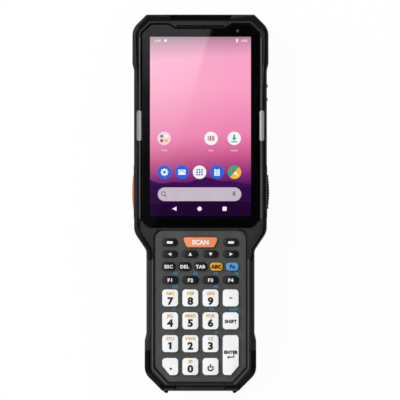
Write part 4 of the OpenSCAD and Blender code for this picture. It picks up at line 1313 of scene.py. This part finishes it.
class TERMINAL_OT_rear_camera(bpy.types.Operator):
    """Finishes the rear camera and puts its lens in"""
    bl_idname = "terminal.rear_camera"
    bl_label = "Fit the rear camera"

    def execute(self, context):
        ring = metal("camera ring metal", (0.035, 0.035, 0.038), 0.22)
        rounded_piece("rear_camera", "camera_ring", ring, 0.0003)

        # the lens is the cap of a sphere below a plane, with its pole outwards
        radius, plane, inset = 0.0062, -0.0055, 0.0008
        bm = bmesh.new()
        bmesh.ops.create_uvsphere(bm, u_segments=40, v_segments=16, radius=radius)
        cut(bm, (0, 0, plane), (0, 0, 1), clear_outer=True)

        # a sphere's faces come in no fixed order, so they are sorted round the lens and upwards
        def round_and_up(face):
            middle = face.calc_center_median()
            return math.atan2(middle.y, middle.x) + middle.z / radius

        bm.faces.sort(key=round_and_up)
        x, y, _ = middle_of("rear_camera")
        bmesh.ops.translate(bm, verts=bm.verts,
                            vec=(x, y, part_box("rear_camera")[0].z + inset - plane))
        mesh = mesh_of(bm, "camera_lens")
        dress(mesh, window_glass("coated lens", (0.004, 0.006, 0.02)))
        smooth_by_angle(mesh)
        new_piece("camera_lens", mesh)
        return {"FINISHED"}


class TERMINAL_OT_speaker_mesh(bpy.types.Operator):
    """Puts a perforated sheet behind the loudspeaker's slots"""
    bl_idname = "terminal.speaker_mesh"
    bl_label = "Fit the loudspeaker's mesh"

    def execute(self, context):
        look = context.scene.terminal_fittings
        width, height, coarser = 0.0135, 0.0105, 1.3
        holes = perforations("speaker_holes", width, height, look.mesh_pitch * coarser,
                             look.mesh_hole * coarser,
                             ink("speaker hole", (0.30, 0.30, 0.31), 0.5))
        x, y, _ = middle_of("loudspeaker")
        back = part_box("loudspeaker")[0].z - PICTURE_LIFT * MM
        holes.transform(Matrix.Translation((x, y, back)) @ Matrix.Rotation(math.pi, 4, "X"))
        new_piece("speaker_holes", holes)
        return {"FINISHED"}


class TERMINAL_OT_corner_ribs(bpy.types.Operator):
    """Puts a row of ribs on each slanted corner of the tail's rubber"""
    bl_idname = "terminal.corner_ribs"
    bl_label = "Rib the tail's corners"

    def execute(self, context):
        look = context.scene.terminal_fittings
        skin = rubber("rib skin", (0.012, 0.012, 0.0125), 0.5)
        low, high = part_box("tail_bumper")
        size = (0.00045, 0.0021, 0.0005)
        from_side, from_end, below = 0.0018, 0.0110, 0.0001    # of the row's first rib
        step = look.rib_pitch / math.sqrt(2)
        for side, name in ((-1, "tail_ribs_left"), (1, "tail_ribs_right")):
            mesh = ribs(name, look.rib_count, (-side * step, -step, 0.0), size,
                        (0.0, 0.0, math.radians(side * 45)), skin)
            mesh.transform(Matrix.Translation((side * (high.x - from_side), low.y + from_end,
                                               high.z - below)))
            smooth_by_angle(mesh, 60.0)
            new_piece(name, mesh)
        return {"FINISHED"}


# ---------------------------------------------------------------- stage

# In metres
FLOOR_REACH = 6.0                     # from the object to each of the floor's edges
CARD_EDGES = (-3.0, 3.0, -1.5, 3.0)   # left, right, near and far edge of the card overhead
LAMP_SIZE = (0.7, 0.9)
LAMP_PLACE = Vector((-0.75, 0.35, 0.85))
CAMERA_OVER = (-0.00025, 0.00197)     # x and y of the point that the camera looks down on


def shown_ray(tree):
    """1 for the rays that see a plain white surround: camera, glossy and transmission rays"""
    path = tree.nodes.new("ShaderNodeLightPath").outputs
    seen = math_node(tree, "MAXIMUM", path["Is Camera Ray"], path["Is Glossy Ray"])
    return math_node(tree, "MAXIMUM", seen, path["Is Transmission Ray"])


def floor_finish(tint):
    """White floor that is bright to the eye and in reflections, and still takes a shadow"""
    made = Finish("floor paper", tint, 1.0, Specular_IOR_Level=0.0)
    glow, mix = made.node("ShaderNodeEmission"), made.node("ShaderNodeMixShader")
    shadowless = 0.96    # the rest of the white still shows the shadow
    made.link(made.math("MULTIPLY", shown_ray(made.tree), shadowless), mix.inputs["Fac"])
    made.link(made.shader.outputs["BSDF"], mix.inputs[1])
    made.link(glow.outputs["Emission"], mix.inputs[2])
    made.link(mix.outputs["Shader"], made.tree.nodes["Material Output"].inputs["Surface"])
    return made.material


def card_finish():
    """Dark card whose left part glows up to a slanted edge, most just beyond the head"""
    made = Finish("overhead card", (0.0, 0.0, 0.0), 1.0, Specular_IOR_Level=0.0)
    place, slant = made.axes(), -0.286
    left = made.spread(made.math("MULTIPLY_ADD", place["Y"], slant, place["X"]),
                       1.0, 0.0, -0.045, -0.041)
    greys = ((0.0, 0.04), (0.27, 0.06), (0.33, 0.12), (0.47, 0.22), (0.59, 0.60), (0.72, 0.92),
             (0.80, 0.50), (0.90, 0.06))
    level = made.ramp(made.spread(place["Y"], 0.0, 1.0, -0.05, 0.3),
                      [(stop, (grey,) * 3) for stop, grey in greys])
    made.link(level, made.shader.inputs["Emission Color"])
    made.link(left, made.shader.inputs["Emission Strength"])
    return made.material


def staged_sheet(name, left, right, near, far, z, material):
    """A flat rectangle of the stage, in metres"""
    mesh = bpy.data.meshes.new(name)
    mesh.from_pydata([(left, near, z), (right, near, z), (right, far, z), (left, far, z)], [],
                     [(0, 1, 2, 3)])
    dress(mesh, material)
    made = linked(name, mesh)
    return made


class TERMINAL_OT_stage(bpy.types.Operator):
    """Makes the floor, the light and the camera over the front"""
    bl_idname = "terminal.stage"
    bl_label = "Set the stage"

    def execute(self, context):
        look = context.scene.terminal_stage
        context.scene.view_settings.view_transform = "Standard"
        height = look.camera_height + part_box("display_window")[1].z
        self.lay_floor(look, height)
        self.light(context.scene, look)
        self.place_camera(context.scene, look, height)
        return {"FINISHED"}

    def lay_floor(self, look, height):
        """The floor, and overhead a dark card with a sheen that only the glosses see"""
        staged_sheet("floor", -FLOOR_REACH, FLOOR_REACH, -FLOOR_REACH, FLOOR_REACH, 0,
                     floor_finish(look.floor))
        card = staged_sheet("card", *CARD_EDGES, height, card_finish())
        for ray in ("camera", "diffuse", "transmission", "volume_scatter", "shadow"):
            setattr(card, f"visible_{ray}", False)

    def light(self, scene, look):
        """White surround that lights softly from all round, and one large lamp"""
        world = bpy.data.worlds.new("surround")
        scene.world = world
        world.use_nodes = True
        tree = world.node_tree
        strength = tree.nodes.new("ShaderNodeMapRange")
        strength.inputs["To Min"].default_value = look.fill
        strength.inputs["To Max"].default_value = 1.0
        tree.links.new(shown_ray(tree), strength.inputs["Value"])
        ground = tree.nodes["Background"]
        ground.inputs["Color"].default_value = (1.0, 1.0, 1.0, 1.0)
        tree.links.new(strength.outputs["Result"], ground.inputs["Strength"])

        lamp = bpy.data.lights.new("key lamp", "AREA")
        lamp.shape = "RECTANGLE"
        lamp.size, lamp.size_y = LAMP_SIZE
        lamp.energy = look.key
        placed = linked("key lamp", lamp)
        placed.location = LAMP_PLACE
        placed.rotation_euler = (-LAMP_PLACE).to_track_quat("-Z", "Y").to_euler()

    def place_camera(self, scene, look, height):
        """Camera that looks straight down at the front"""
        camera = bpy.data.cameras.new("camera")
        camera.sensor_width = 36.0
        camera.lens = camera.sensor_width * look.camera_height / look.view_width
        camera.clip_end = 30.0
        placed = linked("camera", camera)
        placed.location = (*CAMERA_OVER, height)
        scene.camera = placed


class TERMINAL_PT_sidebar(bpy.types.Panel):
    """Lists the steps that dress the terminal"""
    bl_idname = "TERMINAL_PT_sidebar"
    bl_label = "Data terminal"
    bl_space_type = "VIEW_3D"
    bl_region_type = "UI"
    bl_category = "Terminal"

    def draw(self, context):
        for group, look_name, operators in SECTIONS:
            box = self.layout.box()
            box.label(text=group)
            look = getattr(context.scene, look_name)
            for name in look.bl_rna.properties.keys():
                if name not in ("rna_type", "name"):
                    box.prop(look, name)
            for operator in operators:
                box.operator(operator.bl_idname)


SECTIONS = (
    ("Housing", "terminal_housing", (TERMINAL_OT_housing, TERMINAL_OT_rim_lines,
                                      TERMINAL_OT_light_bars)),
    ("Display", "terminal_screen", (TERMINAL_OT_picture, TERMINAL_OT_symbols)),
    ("Keys", "terminal_keypad", (TERMINAL_OT_caps, TERMINAL_OT_legends,
                                 TERMINAL_OT_plate_print)),
    ("Fittings", "terminal_fittings", (TERMINAL_OT_earpiece, TERMINAL_OT_scanner,
                                       TERMINAL_OT_rear_camera, TERMINAL_OT_speaker_mesh,
                                       TERMINAL_OT_corner_ribs)),
    ("Stage", "terminal_stage", (TERMINAL_OT_stage,)),
)
LOOKS = {"terminal_housing": HousingLook, "terminal_screen": ScreenLook,
         "terminal_keypad": KeypadLook, "terminal_fittings": FittingLook,
         "terminal_stage": StageLook}
CLASSES = (*LOOKS.values(), *(o for section in SECTIONS for o in section[2]),
           TERMINAL_PT_sidebar)


def register():
    for made in CLASSES:
        bpy.utils.register_class(made)
    for name, look in LOOKS.items():
        setattr(bpy.types.Scene, name, PointerProperty(type=look))


def unregister():
    for name in LOOKS:
        delattr(bpy.types.Scene, name)
    for made in reversed(CLASSES):
        bpy.utils.unregister_class(made)


def main():
    register()
    for _, _, operators in SECTIONS:
        for operator in operators:
            category, name = operator.bl_idname.split(".")
            getattr(getattr(bpy.ops, category), name)()


if __name__ == "__main__":
    main()
